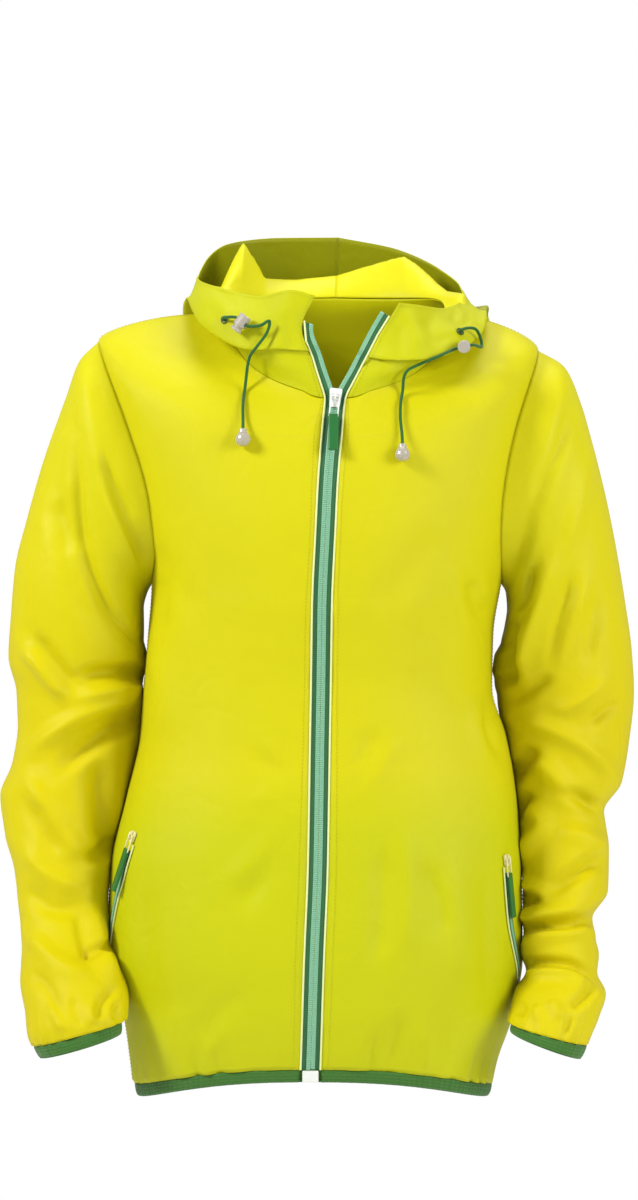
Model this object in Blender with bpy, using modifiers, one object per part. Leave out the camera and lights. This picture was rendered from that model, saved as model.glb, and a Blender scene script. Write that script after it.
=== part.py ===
"""Hooded rain jacket in its worn, hollow form: thin nylon panels, full-length zip, hood lying back,
elastic bindings, two zipped pockets and a drawcord at each side of the hood.

Frame: metres, +Z up, +X to the viewer's right when the front is seen, +Y away from the viewer.
The origin is the middle of the neck and shoulder line, where the jacket hangs on its wearer.
The tables are in millimetres and are turned into metres by MM.
"""
import bpy
import bmesh
import math
import numpy as np
from mathutils import Vector, Matrix
from mathutils.bvhtree import BVHTree

MM = 0.001

# ------------------------------------------------------------------ driving sizes, millimetres
CLOTH = 1.0            # wall of every cloth panel
SEAM = 0.45            # gap kept between neighbouring panels
BIND = 1.9             # wall of the elastic bindings
HEM_BAND = 10.0        # height of the hem binding
CUFF_BAND = 9.0        # height of the cuff bindings
ZIP_HALF = 7.4         # zip centre to the edge of the front panel
PIPE_R = 0.85          # radius of the piping cord along the zip
TAPE_T = 0.8           # wall of the zip tape
COIL_T = 1.9           # depth of the zip coil
COIL_W = 3.3           # width of one half of the coil
CORD_D = 2.6           # drawcord
HOOD_GAP = 5.0         # how far the hood's cloth stays off the body it lies on
ARM_FRONT, ARM_BACK = 27.0, 27.0   # how far the armhole reaches round the body, degrees
ARM_LOW, ARM_HIGH = 0.610, 0.885   # heights of the armhole's two ends on the side line

# Body, a row for each level from hem to neckline. z_* heights at centre front, the two sides and
# centre back; x_left, x_right the two side lines; x_zip the zip's centre; y_* depths; square is the
# exponent that squares the section; saddle shapes how height runs from front or back to side.
BODY = (
    # h     z_front z_left z_right z_back x_left x_right x_zip y_front y_side y_back square saddle
    (0.000, -658.0, -681.0, -681.0, -688.0, -166.0, 137.0, -17.0, -117.0, 0.0, 118.0, 0.80, 2.00),
    (0.045, -630.0, -652.0, -652.0, -656.0, -171.0, 143.0, -16.0, -123.0, 0.0, 124.0, 0.80, 2.00),
    (0.100, -597.0, -614.0, -614.0, -618.0, -177.0, 156.0, -15.0, -128.0, 0.0, 129.0, 0.80, 2.00),
    (0.170, -552.0, -562.0, -562.0, -564.0, -191.0, 165.0, -13.5, -130.0, 0.0, 131.0, 0.80, 2.00),
    (0.280, -480.0, -487.0, -487.0, -487.0, -188.0, 164.0, -10.5, -126.0, 0.0, 122.0, 0.80, 2.00),
    (0.360, -425.0, -428.0, -428.0, -428.0, -175.0, 160.0, -9.5, -121.0, 0.0, 108.0, 0.82, 2.00),
    (0.440, -372.0, -374.0, -374.0, -373.0, -163.0, 151.0, -8.7, -117.0, 0.0, 98.0, 0.84, 2.00),
    (0.500, -333.0, -333.0, -333.0, -332.0, -160.0, 139.0, -8.0, -116.0, 0.0, 95.0, 0.85, 2.00),
    (0.560, -294.0, -287.0, -287.0, -290.0, -156.0, 140.0, -7.5, -120.0, 2.0, 99.0, 0.85, 2.00),
    (0.610, -260.0, -243.0, -243.0, -252.0, -153.0, 147.0, -7.0, -125.0, 4.0, 105.0, 0.85, 2.00),
    (0.700, -207.0, -175.0, -175.0, -190.0, -165.0, 158.0, -4.5, -127.0, 6.0, 113.0, 0.84, 2.00),
    (0.800, -157.0, -98.0, -98.0, -122.0, -186.0, 171.0, -2.0, -121.0, 8.0, 116.0, 0.84, 1.80),
    (0.885, -122.0, -35.0, -43.0, -66.0, -199.0, 179.0, 1.0, -112.0, 8.0, 110.0, 0.86, 1.60),
    (0.940, -105.0, -14.0, -18.0, -26.0, -142.0, 138.0, 2.5, -106.0, 4.0, 94.0, 0.92, 1.20),
    (1.000, -90.0, -9.0, -9.0, 8.0, -82.0, 93.0, 4.0, -99.0, 0.0, 72.0, 1.00, 0.80),
)

# Sleeves, a row for each section or fold from the armhole to the cuff. outer and inner are the
# two edges of the section in the front view, y_mid its middle depth, half_y its half depth.
SLEEVE_LEFT = (
    # x_outer z_outer x_inner z_inner y_mid half_y
    (-215.0, -53.0, -157.5, -252.0, 5.0, 66.0),
    (-227.0, -84.0, -160.5, -265.0, 5.0, 65.0),
    (-246.0, -137.0, -160.5, -281.0, 6.0, 63.0),
    (-261.0, -189.0, -161.0, -297.0, 8.0, 62.0),
    (-271.0, -230.0, -162.0, -309.0, 10.0, 62.0),
    (-275.0, -272.0, -163.5, -323.0, 13.0, 61.0),
    (-277.0, -306.0, -165.5, -337.0, 15.0, 60.0),
    (-271.0, -337.0, -167.0, -353.0, 16.0, 58.0),
    (-270.0, -365.0, -169.5, -373.0, 16.0, 57.0),
    (-274.0, -396.0, -174.5, -394.0, 14.0, 57.0),
    (-283.0, -427.0, -181.0, -425.0, 9.0, 57.0),
    (-279.0, -458.0, -188.5, -458.0, 1.0, 55.0),
    (-271.0, -488.0, -195.5, -486.0, -9.0, 50.0),
    (-266.0, -519.0, -198.5, -516.0, -20.0, 47.0),
    (-262.0, -548.0, -198.0, -542.0, -38.0, 46.0),
    (-261.0, -577.0, -189.0, -564.0, -58.0, 46.0),
    (-256.0, -603.5, -179.0, -585.5, -76.0, 45.0),
    (-252.0, -622.5, -175.5, -600.5, -86.0, 43.0),
    (-243.0, -640.0, -174.0, -620.0, -92.0, 38.0),
)
SLEEVE_RIGHT = (
    # x_outer z_outer x_inner z_inner y_mid half_y
    (201.0, -58.0, 151.5, -252.0, 6.0, 66.0),
    (215.0, -88.0, 152.5, -266.0, 5.0, 64.0),
    (226.0, -125.0, 150.5, -281.0, 6.0, 62.0),
    (237.0, -168.0, 147.5, -295.0, 8.0, 62.0),
    (246.0, -211.0, 146.0, -307.0, 10.0, 62.0),
    (254.0, -258.0, 145.5, -319.0, 12.0, 61.0),
    (260.0, -301.0, 145.0, -331.0, 14.0, 61.0),
    (262.0, -336.0, 148.0, -347.0, 15.0, 60.0),
    (258.0, -379.0, 156.0, -371.0, 15.0, 57.0),
    (251.0, -414.0, 162.5, -398.0, 12.0, 53.0),
    (237.0, -441.0, 166.5, -430.0, 6.0, 47.0),
    (239.0, -473.0, 169.0, -471.0, -3.0, 49.0),
    (237.0, -506.0, 173.5, -503.0, -13.0, 47.0),
    (225.0, -530.0, 170.5, -523.0, -21.0, 42.0),
    (226.0, -546.0, 174.0, -540.0, -29.0, 43.0),
    (228.0, -559.0, 170.0, -556.0, -35.0, 42.0),
    (227.0, -573.0, 173.0, -571.0, -42.0, 43.0),
    (231.0, -590.0, 163.0, -587.0, -60.0, 46.0),
    (225.0, -609.0, 157.0, -600.0, -72.0, 45.0),
    (217.0, -626.0, 153.0, -609.0, -81.0, 42.0),
    (210.0, -641.0, 150.0, -619.0, -88.0, 38.0),
)

# Hood lying back, a row for each station round the neck from the zip edge (0) to the centre back
# (180). rim_* is the face edge, wall_* the widest point of the outer wall under it; pouch_* and
# ridge_* are how far the cloth leaves the straight way from the neck seam to that wall.
HOOD_LEFT = (
    # angle rim_x rim_y rim_z wall_x wall_y wall_z pouch_out pouch_up pouch_half ridge_out ridge_up
    (0.0, -13.0, -86.0, -3.0, -24.0, -91.0, -30.0, 1.0, 0.0, 1.5, 1.0, 0.0),
    (18.0, -33.0, -84.0, 2.0, -40.0, -95.0, -31.0, 4.0, 0.0, 1.5, 3.0, 0.0),
    (42.0, -58.0, -70.0, -2.0, -68.0, -88.0, -28.0, 9.0, -6.0, 3.0, 6.0, 1.0),
    (66.0, -92.0, -40.0, 7.0, -102.0, -60.0, -12.0, 10.0, -4.0, 5.0, 6.0, 6.0),
    (88.0, -114.0, 8.0, 20.0, -120.0, 4.0, 4.0, 8.0, 2.0, 8.0, 6.0, 22.0),
    (112.0, -110.0, 64.0, 38.0, -124.0, 72.0, -4.0, 14.0, -24.0, 12.0, 2.0, 46.0),
    (136.0, -92.0, 108.0, 58.0, -106.0, 136.0, -24.0, 20.0, -78.0, 16.0, 0.0, 60.0),
    (160.0, -46.0, 130.0, 66.0, -54.0, 168.0, -44.0, 24.0, -132.0, 18.0, -4.0, 56.0),
    (180.0, 8.0, 136.0, 67.0, 8.0, 178.0, -52.0, 26.0, -144.0, 18.0, -6.0, 54.0),
)
HOOD_RIGHT = (
    # angle rim_x rim_y rim_z wall_x wall_y wall_z pouch_out pouch_up pouch_half ridge_out ridge_up
    (0.0, 58.0, -84.0, -9.0, 40.0, -91.0, -38.0, 1.0, 0.0, 1.5, 1.0, 0.0),
    (18.0, 72.0, -76.0, -10.0, 64.0, -94.0, -42.0, 6.0, -2.0, 2.0, 4.0, 0.0),
    (42.0, 92.0, -52.0, -11.0, 99.0, -76.0, -34.0, 11.0, -6.0, 4.0, 7.0, 2.0),
    (66.0, 108.0, -20.0, -5.0, 122.0, -38.0, -22.0, 13.0, -2.0, 6.0, 8.0, 8.0),
    (88.0, 116.0, 22.0, 5.0, 130.0, 16.0, -8.0, 10.0, 3.0, 8.0, 8.0, 20.0),
    (112.0, 114.0, 64.0, 18.0, 131.0, 70.0, -14.0, 14.0, -22.0, 12.0, 2.0, 40.0),
    (136.0, 98.0, 106.0, 36.0, 112.0, 132.0, -30.0, 20.0, -74.0, 16.0, 0.0, 56.0),
    (160.0, 60.0, 130.0, 56.0, 66.0, 166.0, -46.0, 24.0, -130.0, 18.0, -4.0, 56.0),
    (180.0, 8.0, 136.0, 67.0, 8.0, 178.0, -52.0, 26.0, -144.0, 18.0, -6.0, 54.0),
)
NECK_X, NECK_Y = 6.0, -8.0   # the neck's axis, that the hood's "out" is measured from

ZIP_TOP = {-1.0: 0.765, 1.0: 0.86}   # share of the hood's zip edge where each zip half ends
SLIDER_H = 0.9985                    # height of the main slider on the zip

# Pocket zips on the front panels: where they run, from the slider down.
POCKET_LEFT = (
    # angle h
    (60.6, 0.3260), (62.0, 0.3000), (65.0, 0.2720), (69.0, 0.2450), (73.5, 0.2050), (78.0, 0.1600),
)
POCKET_RIGHT = (
    # angle h
    (61.5, 0.2990), (62.3, 0.2750), (63.2, 0.2480), (64.6, 0.2170), (69.0, 0.1820), (75.0, 0.1500),
)

# Drawcords. A row is a point of the hood or the body moved out by lift; the barrel's row is where
# the cord lock sits. The free end hangs down the front panel.
CORD_LEFT = (
    # piece a b lift
    ("hood", 55.0, 0.617, 0.6), ("hood", 55.0, 0.617, 4.2), ("barrel", 44.0, 0.610, 9.0),
    ("hood", 32.0, 0.600, 8.0), ("hood", 27.5, 0.660, 6.0), ("hood", 28.0, 0.560, 4.2),
    ("hood", 33.0, 0.420, 4.2), ("hood", 38.5, 0.300, 7.5),
    ("drop", 245.0, 388.0, 3.0), ("drop", 243.0, 404.0, 2.6),
    ("drop", 243.0, 419.0, 3.6), ("drop", 243.0, 429.0, 6.4),
)
CORD_RIGHT = (
    # piece a b lift
    ("hood", 50.0, 0.617, 0.6), ("hood", 50.0, 0.617, 4.2), ("hood", 57.0, 0.570, 7.0),
    ("hood", 58.5, 0.500, 8.0), ("barrel", 46.0, 0.470, 9.0),
    ("hood", 34.5, 0.430, 6.0), ("hood", 28.0, 0.330, 4.6), ("hood", 24.0, 0.230, 6.0),
    ("drop", 402.5, 392.0, 4.4), ("drop", 400.5, 406.0, 3.0), ("drop", 400.5, 420.0, 2.6),
    ("drop", 402.0, 434.0, 3.6), ("drop", 402.5, 444.0, 6.4),
)


# ------------------------------------------------------------------ interpolation
def pchip(x, y, q):
    """Smooth monotone curve through the rows y at x, read at q. y may hold any number of columns."""
    x, y, q = np.asarray(x, float), np.asarray(y, float), np.asarray(q, float)
    h = np.diff(x)
    hs = h.reshape((-1,) + (1,) * (y.ndim - 1))
    d = np.diff(y, axis=0) / hs
    m = np.zeros_like(y)
    w1, w2 = 2 * hs[1:] + hs[:-1], hs[1:] + 2 * hs[:-1]
    same = d[1:] * d[:-1] > 0
    safe0, safe1 = np.where(same, d[:-1], 1.0), np.where(same, d[1:], 1.0)
    m[1:-1] = np.where(same, (w1 + w2) / (w1 / safe0 + w2 / safe1), 0.0)
    m[0], m[-1] = d[0], d[-1]
    q = np.clip(q, x[0], x[-1])
    k = np.clip(np.searchsorted(x, q, side="right") - 1, 0, len(x) - 2)
    t = ((q - x[k]) / h[k]).reshape(q.shape + (1,) * (y.ndim - 1))
    hk = h[k].reshape(q.shape + (1,) * (y.ndim - 1))
    return ((1 + 2 * t) * (1 - t) ** 2 * y[k] + t * (1 - t) ** 2 * hk * m[k]
            + t * t * (3 - 2 * t) * y[k + 1] + t * t * (t - 1) * hk * m[k + 1])


def rounded(ctrl, n):
    """n points, evenly spaced by length, on a centripetal Catmull-Rom curve through ctrl."""
    c = np.asarray(ctrl, float)
    c = np.vstack([2 * c[0] - c[1], c, 2 * c[-1] - c[-2]])
    out = []
    for a, b, d, e in zip(c[:-3], c[1:-2], c[2:-1], c[3:]):
        t0 = 0.0
        t1 = t0 + max(np.linalg.norm(b - a), 1e-6) ** 0.5
        t2 = t1 + max(np.linalg.norm(d - b), 1e-6) ** 0.5
        t3 = t2 + max(np.linalg.norm(e - d), 1e-6) ** 0.5
        for t in np.linspace(t1, t2, 25)[:-1]:
            a1 = (t1 - t) / (t1 - t0) * a + (t - t0) / (t1 - t0) * b
            a2 = (t2 - t) / (t2 - t1) * b + (t - t1) / (t2 - t1) * d
            a3 = (t3 - t) / (t3 - t2) * d + (t - t2) / (t3 - t2) * e
            b1 = (t2 - t) / (t2 - t0) * a1 + (t - t0) / (t2 - t0) * a2
            b2 = (t3 - t) / (t3 - t1) * a2 + (t - t1) / (t3 - t1) * a3
            out.append((t2 - t) / (t2 - t1) * b1 + (t - t1) / (t2 - t1) * b2)
    out.append(c[-2])
    out = np.array(out)
    s = np.concatenate([[0], np.cumsum(np.linalg.norm(np.diff(out, axis=0), axis=1))])
    want = np.linspace(0, s[-1], n)
    return np.stack([np.interp(want, s, out[:, k]) for k in range(3)], axis=1)


# ------------------------------------------------------------------ the garment's surfaces
BODY_A = np.array(BODY)


def body(theta, h):
    """Point on the body's outside. theta runs from the zip (0) over the right side (90) to the
    centre back (180) and the left side (270); h from the hem (0) to the neckline (1)."""
    theta, h = np.broadcast_arrays(np.asarray(theta, float), np.asarray(h, float))
    r = pchip(BODY_A[:, 0], BODY_A[:, 1:], h)
    zf, zl, zr, zb, xl, xr, xz, yf, ys, yb, sq, sad = np.moveaxis(r, -1, 0)
    th = np.radians(theta)
    s, c = np.sin(th), np.cos(th)
    front = c >= 0
    mid = np.where(front, xz, 0.5 * (xl + xr))
    side = np.where(s >= 0, xr, xl)
    zs = 0.5 * (zl + zr) + 0.5 * (zr - zl) * s
    x = mid + (side - mid) * np.abs(s) ** sq
    y = ys + (np.where(front, yf, yb) - ys) * np.abs(c) ** sq
    z = zs + (np.where(front, zf, zb) - zs) * np.abs(c) ** sad
    return np.stack([x, y, z], axis=-1) * MM


def zip_angle(side, h, off):
    """Angle at which the body lies off mm from the zip's centre line."""
    r = pchip(BODY_A[:, 0], BODY_A[:, 1:], np.asarray(h, float))
    half = np.abs(np.where(side > 0, r[..., 5], r[..., 4]) - r[..., 6])
    return np.degrees(np.arcsin((off / half) ** (1 / r[..., 10])))


def arm_reach(h, reach):
    """Degrees that the armhole takes from a panel's outer edge at height h."""
    mid, half = 0.5 * (ARM_LOW + ARM_HIGH), 0.5 * (ARM_HIGH - ARM_LOW)
    return reach * np.sqrt(np.clip(1 - ((np.asarray(h) - mid) / half) ** 2, 0, 1))


def panel_rows(n_low, n_arm, n_top, low, high):
    """Heights of a panel's rows, closer at the two ends of the armhole."""
    mid, half = 0.5 * (ARM_LOW + ARM_HIGH), 0.5 * (ARM_HIGH - ARM_LOW)
    arm = mid - half * np.cos(np.linspace(0, math.pi, n_arm))
    return np.concatenate([np.linspace(low, ARM_LOW, n_low, endpoint=False), arm,
                           np.linspace(ARM_HIGH, high, n_top + 1)[1:]])


def front_grid(side, n_u, rows):
    """Outside of a front panel, from the zip edge to the side seam, armhole and shoulder seam."""
    gap = SEAM * 0.5
    extra = 0.9 * np.clip((rows - 0.93) / 0.05, 0, 1)      # room for the zip's bend at the neckline
    inner = zip_angle(side, rows, ZIP_HALF + PIPE_R * 2 + 0.4 + extra)
    outer = 90.0 - arm_reach(rows, ARM_FRONT) - np.degrees(gap / 150.0) - 0.10
    u = np.linspace(0, 1, n_u)
    theta = inner[:, None] + (outer - inner)[:, None] * u[None, :]
    return body(side * theta, rows[:, None] + 0 * theta)


def back_grid(n_u, rows):
    """Outside of the back panel, from the right side seam to the left one."""
    gap = SEAM * 0.5
    edge = 90.0 + arm_reach(rows, ARM_BACK) + np.degrees(gap / 150.0) + 0.10
    u = np.linspace(0, 1, n_u)
    theta = edge[:, None] + (360.0 - 2 * edge)[:, None] * u[None, :]
    return body(theta, rows[:, None] + 0 * theta)


def sleeve_sections(side, psi):
    """The sleeve's sections at the angles psi: 0 under the arm, 90 front, 180 over the shoulder."""
    psi = np.asarray(psi, float)
    p = np.radians(psi)
    mid, half = 0.5 * (ARM_LOW + ARM_HIGH), 0.5 * (ARM_HIGH - ARM_LOW)
    shrink = 0.975                                    # the seam gap, inside the armhole
    h = mid - half * shrink * np.cos(p)
    reach = np.where(np.sin(p) >= 0, ARM_FRONT, ARM_BACK)
    hole = body(side * (90.0 - reach * shrink * np.sin(p)), h)
    rings = [hole]
    for xo, zo, xi, zi, ym, hy in (SLEEVE_LEFT if side < 0 else SLEEVE_RIGHT):
        o, i = np.array([xo, ym, zo]), np.array([xi, ym, zi])
        c, e = 0.5 * (o + i), 0.5 * (i - o)
        co, si = np.cos(p), np.sin(p)
        co = np.sign(co) * np.abs(co) ** 0.93
        si = np.sign(si) * np.abs(si) ** 0.93
        rings.append((c + co[:, None] * e - si[:, None] * np.array([0, hy, 0])) * MM)
    rings = np.array(rings)
    mids = rings.mean(axis=1)
    s = np.concatenate([[0], np.cumsum(np.linalg.norm(np.diff(mids, axis=0), axis=1))])
    return s / s[-1], rings


def sleeve_grid(side, psi, t):
    """Outside of a sleeve at angles psi and at t from the armhole (0) to the cuff's end (1)."""
    s, rings = sleeve_sections(side, psi)
    return pchip(s, rings, np.asarray(t, float))


def hood_grid(side, angles, n_v, v0=0.0, v1=1.0):
    """The hood's outside, at angles round the neck and n_v points from the seam to the rim."""
    tab = np.array(HOOD_LEFT if side < 0 else HOOD_RIGHT)
    row = pchip(tab[:, 0], tab[:, 1:], np.asarray(angles, float))
    cols = []
    for a, r in zip(angles, row):
        start = float(zip_angle(side, np.array(1.0), ZIP_HALF + PIPE_R * 2 + 0.4))
        th = start + (180.0 - start) * a / 180.0
        seam = body(side * th, 1.0) / MM
        rim, wall = r[0:3], r[3:6]
        out = np.array([seam[0] - NECK_X, seam[1] - NECK_Y, 0.0])
        out /= np.linalg.norm(out)
        up = np.array([0, 0, 1.0])
        ridge = seam + (wall - seam) / 3 + out * r[9] + up * r[10]
        pouch = seam + (wall - seam) * 2 / 3 + out * r[6] + up * r[7]
        line = rounded([seam + up * SEAM, ridge, pouch - out * r[8], pouch + out * r[8], wall, rim], 181)
        idx = np.linspace(v0 * 180, v1 * 180, n_v)
        cols.append(np.stack([np.interp(idx, np.arange(181), line[:, k]) for k in range(3)], axis=1))
    return np.array(cols).transpose(1, 0, 2) * MM


def body_skin():
    """The whole outside of the body, armholes closed, to rest other pieces on."""
    th, hh = np.arange(0, 360, 5.0), np.linspace(0.0, 1.0, 70)
    g = body(th[None, :] + 0 * hh[:, None], hh[:, None] + 0 * th[None, :])
    n = len(th)
    faces = [(j * n + i, j * n + (i + 1) % n, (j + 1) * n + (i + 1) % n, (j + 1) * n + i)
             for j in range(len(hh) - 1) for i in range(n)]
    return BVHTree.FromPolygons([Vector(p) for p in g.reshape(-1, 3)], faces)


SKIN = body_skin()


def lying_hood(side, angles, n_v):
    """The hood's outside, resting on the body; at the zip edge it stays close to the body's line."""
    angles = np.asarray(angles, float)
    gap = HOOD_GAP * np.clip(0.25 + angles / 30.0, 0.25, 1.0)
    return rest_on_body(hood_grid(side, angles, n_v), gap, 0.0, 0.10)



def rest_on_body(grid, gap, first=0.0, full=0.0):
    """Push a grid's points out of the body until they clear it by gap mm, one value or one for
    each column. The rows' share of that runs from nothing at row share first to all at full."""
    out = grid.copy()
    gap = np.broadcast_to(gap, (grid.shape[1],))
    rows = np.linspace(0, 1, len(grid))
    for j, v in enumerate(rows):
        w = 1.0 if full <= first else min(1.0, max(0.0, (v - first) / (full - first)))
        for i in range(grid.shape[1]):
            p = Vector(out[j, i])
            for _ in range(3):
                near, normal, _, _ = SKIN.find_nearest(p)
                d = (p - near).dot(normal)
                if d < gap[i] * MM * w and (p - near).length < 0.06:
                    p += normal * (gap[i] * MM * w - d)
            out[j, i] = p
    return out


# ------------------------------------------------------------------ scene and materials
for old in list(bpy.data.objects):
    bpy.data.objects.remove(old, do_unlink=True)

jacket = bpy.data.collections.new("rain_jacket")
cutters = bpy.data.collections.new("cutters")
bpy.context.scene.collection.children.link(jacket)
bpy.context.scene.collection.children.link(cutters)

COLOURS = {
    # name: (red, green, blue, roughness, metallic), linear values
    "shell_body": (0.68, 0.74, 0.012, 0.42, 0.0),
    "shell_sleeve": (0.76, 0.70, 0.006, 0.42, 0.0),
    "shell_hood": (0.68, 0.72, 0.010, 0.42, 0.0),
    "binding": (0.055, 0.22, 0.022, 0.60, 0.0),
    "zip_green": (0.045, 0.21, 0.085, 0.50, 0.0),
    "piping": (0.82, 0.86, 0.45, 0.45, 0.0),
    "white_plastic": (0.86, 0.87, 0.80, 0.30, 0.0),
    "puller": (0.018, 0.16, 0.025, 0.45, 0.0),
    "cord": (0.015, 0.13, 0.012, 0.70, 0.0),
    "clear_plastic": (0.62, 0.58, 0.54, 0.28, 0.0),
    "eyelet": (0.05, 0.09, 0.03, 0.40, 0.0),
}
MATERIALS = {}
for mat_name, (mr, mg, mb, rough, metal) in COLOURS.items():
    mat = bpy.data.materials.new(mat_name)
    mat.use_nodes = True
    bsdf = mat.node_tree.nodes["Principled BSDF"]
    bsdf.inputs["Base Color"].default_value = (mr, mg, mb, 1.0)
    bsdf.inputs["Roughness"].default_value = rough
    bsdf.inputs["Metallic"].default_value = metal
    MATERIALS[mat_name] = mat


def own_material(obj, base):
    """Each piece gets its own copy of its finish."""
    mat = MATERIALS[base].copy()
    mat.name = obj.name + "_" + base
    obj.data.materials.clear()
    obj.data.materials.append(mat)


def add_object(name, data, base, collection=None):
    obj = bpy.data.objects.new(name, data)
    (collection or jacket).objects.link(obj)
    if base:
        own_material(obj, base)
    return obj


def smooth_mesh(me, angle=40):
    me.shade_smooth()
    me.set_sharp_from_angle(angle=math.radians(angle))


def cloth(name, grid, base, thick=CLOTH, closed=False, flip=False, side=-1.0):
    """A shell on a grid of points: rows x columns, closed round the columns for a tube."""
    nv, nu = grid.shape[:2]
    bm = bmesh.new()
    vs = [[bm.verts.new(Vector(grid[j, i])) for i in range(nu)] for j in range(nv)]
    for j in range(nv - 1):
        for i in range(nu if closed else nu - 1):
            k = (i + 1) % nu
            quad = (vs[j][i], vs[j][k], vs[j + 1][k], vs[j + 1][i])
            bm.faces.new(quad[::-1] if flip else quad)
    me = bpy.data.meshes.new(name)
    bm.to_mesh(me)
    bm.free()
    me.shade_smooth()
    obj = add_object(name, me, base)
    mod = obj.modifiers.new("wall", "SOLIDIFY")
    mod.thickness = thick * MM
    mod.offset = side
    mod.use_even_offset = False
    mod.use_rim = True
    return obj


def bar(name, sections, base):
    """Closed bar lofted through sections, each a ring of the same number of points."""
    n, m = sections.shape[:2]
    bm = bmesh.new()
    vs = [[bm.verts.new(Vector(p)) for p in ring] for ring in sections]
    for j in range(n - 1):
        for i in range(m):
            k = (i + 1) % m
            bm.faces.new((vs[j][i], vs[j][k], vs[j + 1][k], vs[j + 1][i]))
    bm.faces.new(vs[0][::-1])
    bm.faces.new(vs[-1])
    bmesh.ops.recalc_face_normals(bm, faces=bm.faces[:])
    me = bpy.data.meshes.new(name)
    bm.to_mesh(me)
    bm.free()
    obj = add_object(name, me, base)
    smooth_mesh(me, 35)
    return obj


def tube(name, pts, diameter, base, collection=None):
    """Round cord or wire along pts with closed ends."""
    cu = bpy.data.curves.new(name, "CURVE")
    cu.dimensions = "3D"
    cu.bevel_depth = diameter * 0.5 * MM
    cu.bevel_resolution = 2
    cu.use_fill_caps = True
    cu.render_resolution_u = 0
    sp = cu.splines.new("POLY")
    sp.points.add(len(pts) - 1)
    for q, p in zip(sp.points, pts):
        q.co = (float(p[0]), float(p[1]), float(p[2]), 1.0)
    return add_object(name, cu, base, collection)


def frame_along(pts, normals):
    """Tangent, sideways and outward directions along a line that lies on a surface."""
    t = np.gradient(pts, axis=0)
    t /= np.linalg.norm(t, axis=1)[:, None]
    n = normals - (normals * t).sum(1)[:, None] * t
    n /= np.linalg.norm(n, axis=1)[:, None]
    return t, np.cross(t, n), n


# ------------------------------------------------------------------ cloth panels
hem_h = HEM_BAND / 573.0
ROWS = panel_rows(12, 11, 3, hem_h + 0.0012, 0.9955)
BACK_ROWS = panel_rows(12, 11, 3, hem_h + 0.0012, 0.9955)

for side, tag in ((-1.0, "left"), (1.0, "right")):
    cloth("front_" + tag, front_grid(side, 9, ROWS), "shell_body", flip=side < 0)
cloth("back", back_grid(15, BACK_ROWS), "shell_body", flip=False)

PSI = np.arange(20) * 18.0
for side, tag in ((-1.0, "left"), (1.0, "right")):
    cuff_t = 1.0 - 0.022
    ts = np.concatenate([[0.0, 0.03, 0.065], np.linspace(0.105, cuff_t - 0.0012, 21)])
    cloth("sleeve_" + tag, sleeve_grid(side, PSI, ts), "shell_sleeve", closed=True, flip=side < 0)
    cloth("cuff_binding_" + tag, sleeve_grid(side, PSI, [cuff_t, 1.0]), "binding", thick=BIND,
          closed=True, flip=side < 0, side=-0.6)

for side, tag in ((-1.0, "left"), (1.0, "right")):
    angles = np.concatenate([np.linspace(1.1, 120, 11), np.linspace(133, 179.80, 5)])
    cloth("hood_" + tag, lying_hood(side, angles, 15), "shell_hood", flip=side < 0)

# hem binding: one elastic band from zip edge to zip edge
hem_rows = np.array([0.0, hem_h])
edge_r = zip_angle(1.0, hem_rows, ZIP_HALF + PIPE_R * 2 + 0.4)
edge_l = zip_angle(-1.0, hem_rows, ZIP_HALF + PIPE_R * 2 + 0.4)
u = np.linspace(0, 1, 49)
hem_theta = edge_r[:, None] + (360.0 - edge_l - edge_r)[:, None] * u[None, :]
cloth("hem_binding", body(hem_theta, hem_rows[:, None] + 0 * hem_theta), "binding", thick=BIND, side=-0.6)

# ------------------------------------------------------------------ main zip
def zip_line(side, n):
    """The front edge of one side from the hem up the panel and the hood, with its directions:
    along, sideways away from the opening, and outward."""
    hs = np.linspace(0.0175, 0.992, 60)
    ang = zip_angle(side, hs, ZIP_HALF + PIPE_R * 2 + 0.4)
    low, low_in = body(side * ang, hs), body(side * (ang + 4.0), hs)
    g = lying_hood(side, [0.0, 7.0], 101)
    top = int(round(100 * ZIP_TOP[side]))
    edge = np.vstack([low, g[2:top, 0]])
    lat = np.vstack([low_in - low, g[2:top, 1] - g[2:top, 0]])
    s = np.concatenate([[0], np.cumsum(np.linalg.norm(np.diff(edge, axis=0), axis=1))])
    # stations close together round the slider
    dense = 1 + 4 * np.exp(-((edge[:, 2] / MM + 88.0) / 16.0) ** 2)
    w = np.concatenate([[0], np.cumsum(np.diff(s) * 0.5 * (dense[1:] + dense[:-1]))])
    want = np.interp(np.linspace(0, w[-1], n), w, s)
    edge = np.stack([np.interp(want, s, edge[:, k]) for k in range(3)], 1)
    lat = np.stack([np.interp(want, s, lat[:, k]) for k in range(3)], 1)
    normal = side * np.cross(lat, np.gradient(edge, axis=0))
    normal *= np.where(normal[:, 1:2] > 0, -1, 1)
    for _ in range(2):
        normal[1:-1] = normal[:-2] + 2 * normal[1:-1] + normal[2:]
    t, c, nn = frame_along(edge, normal)
    return edge, t, c * side, nn


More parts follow.
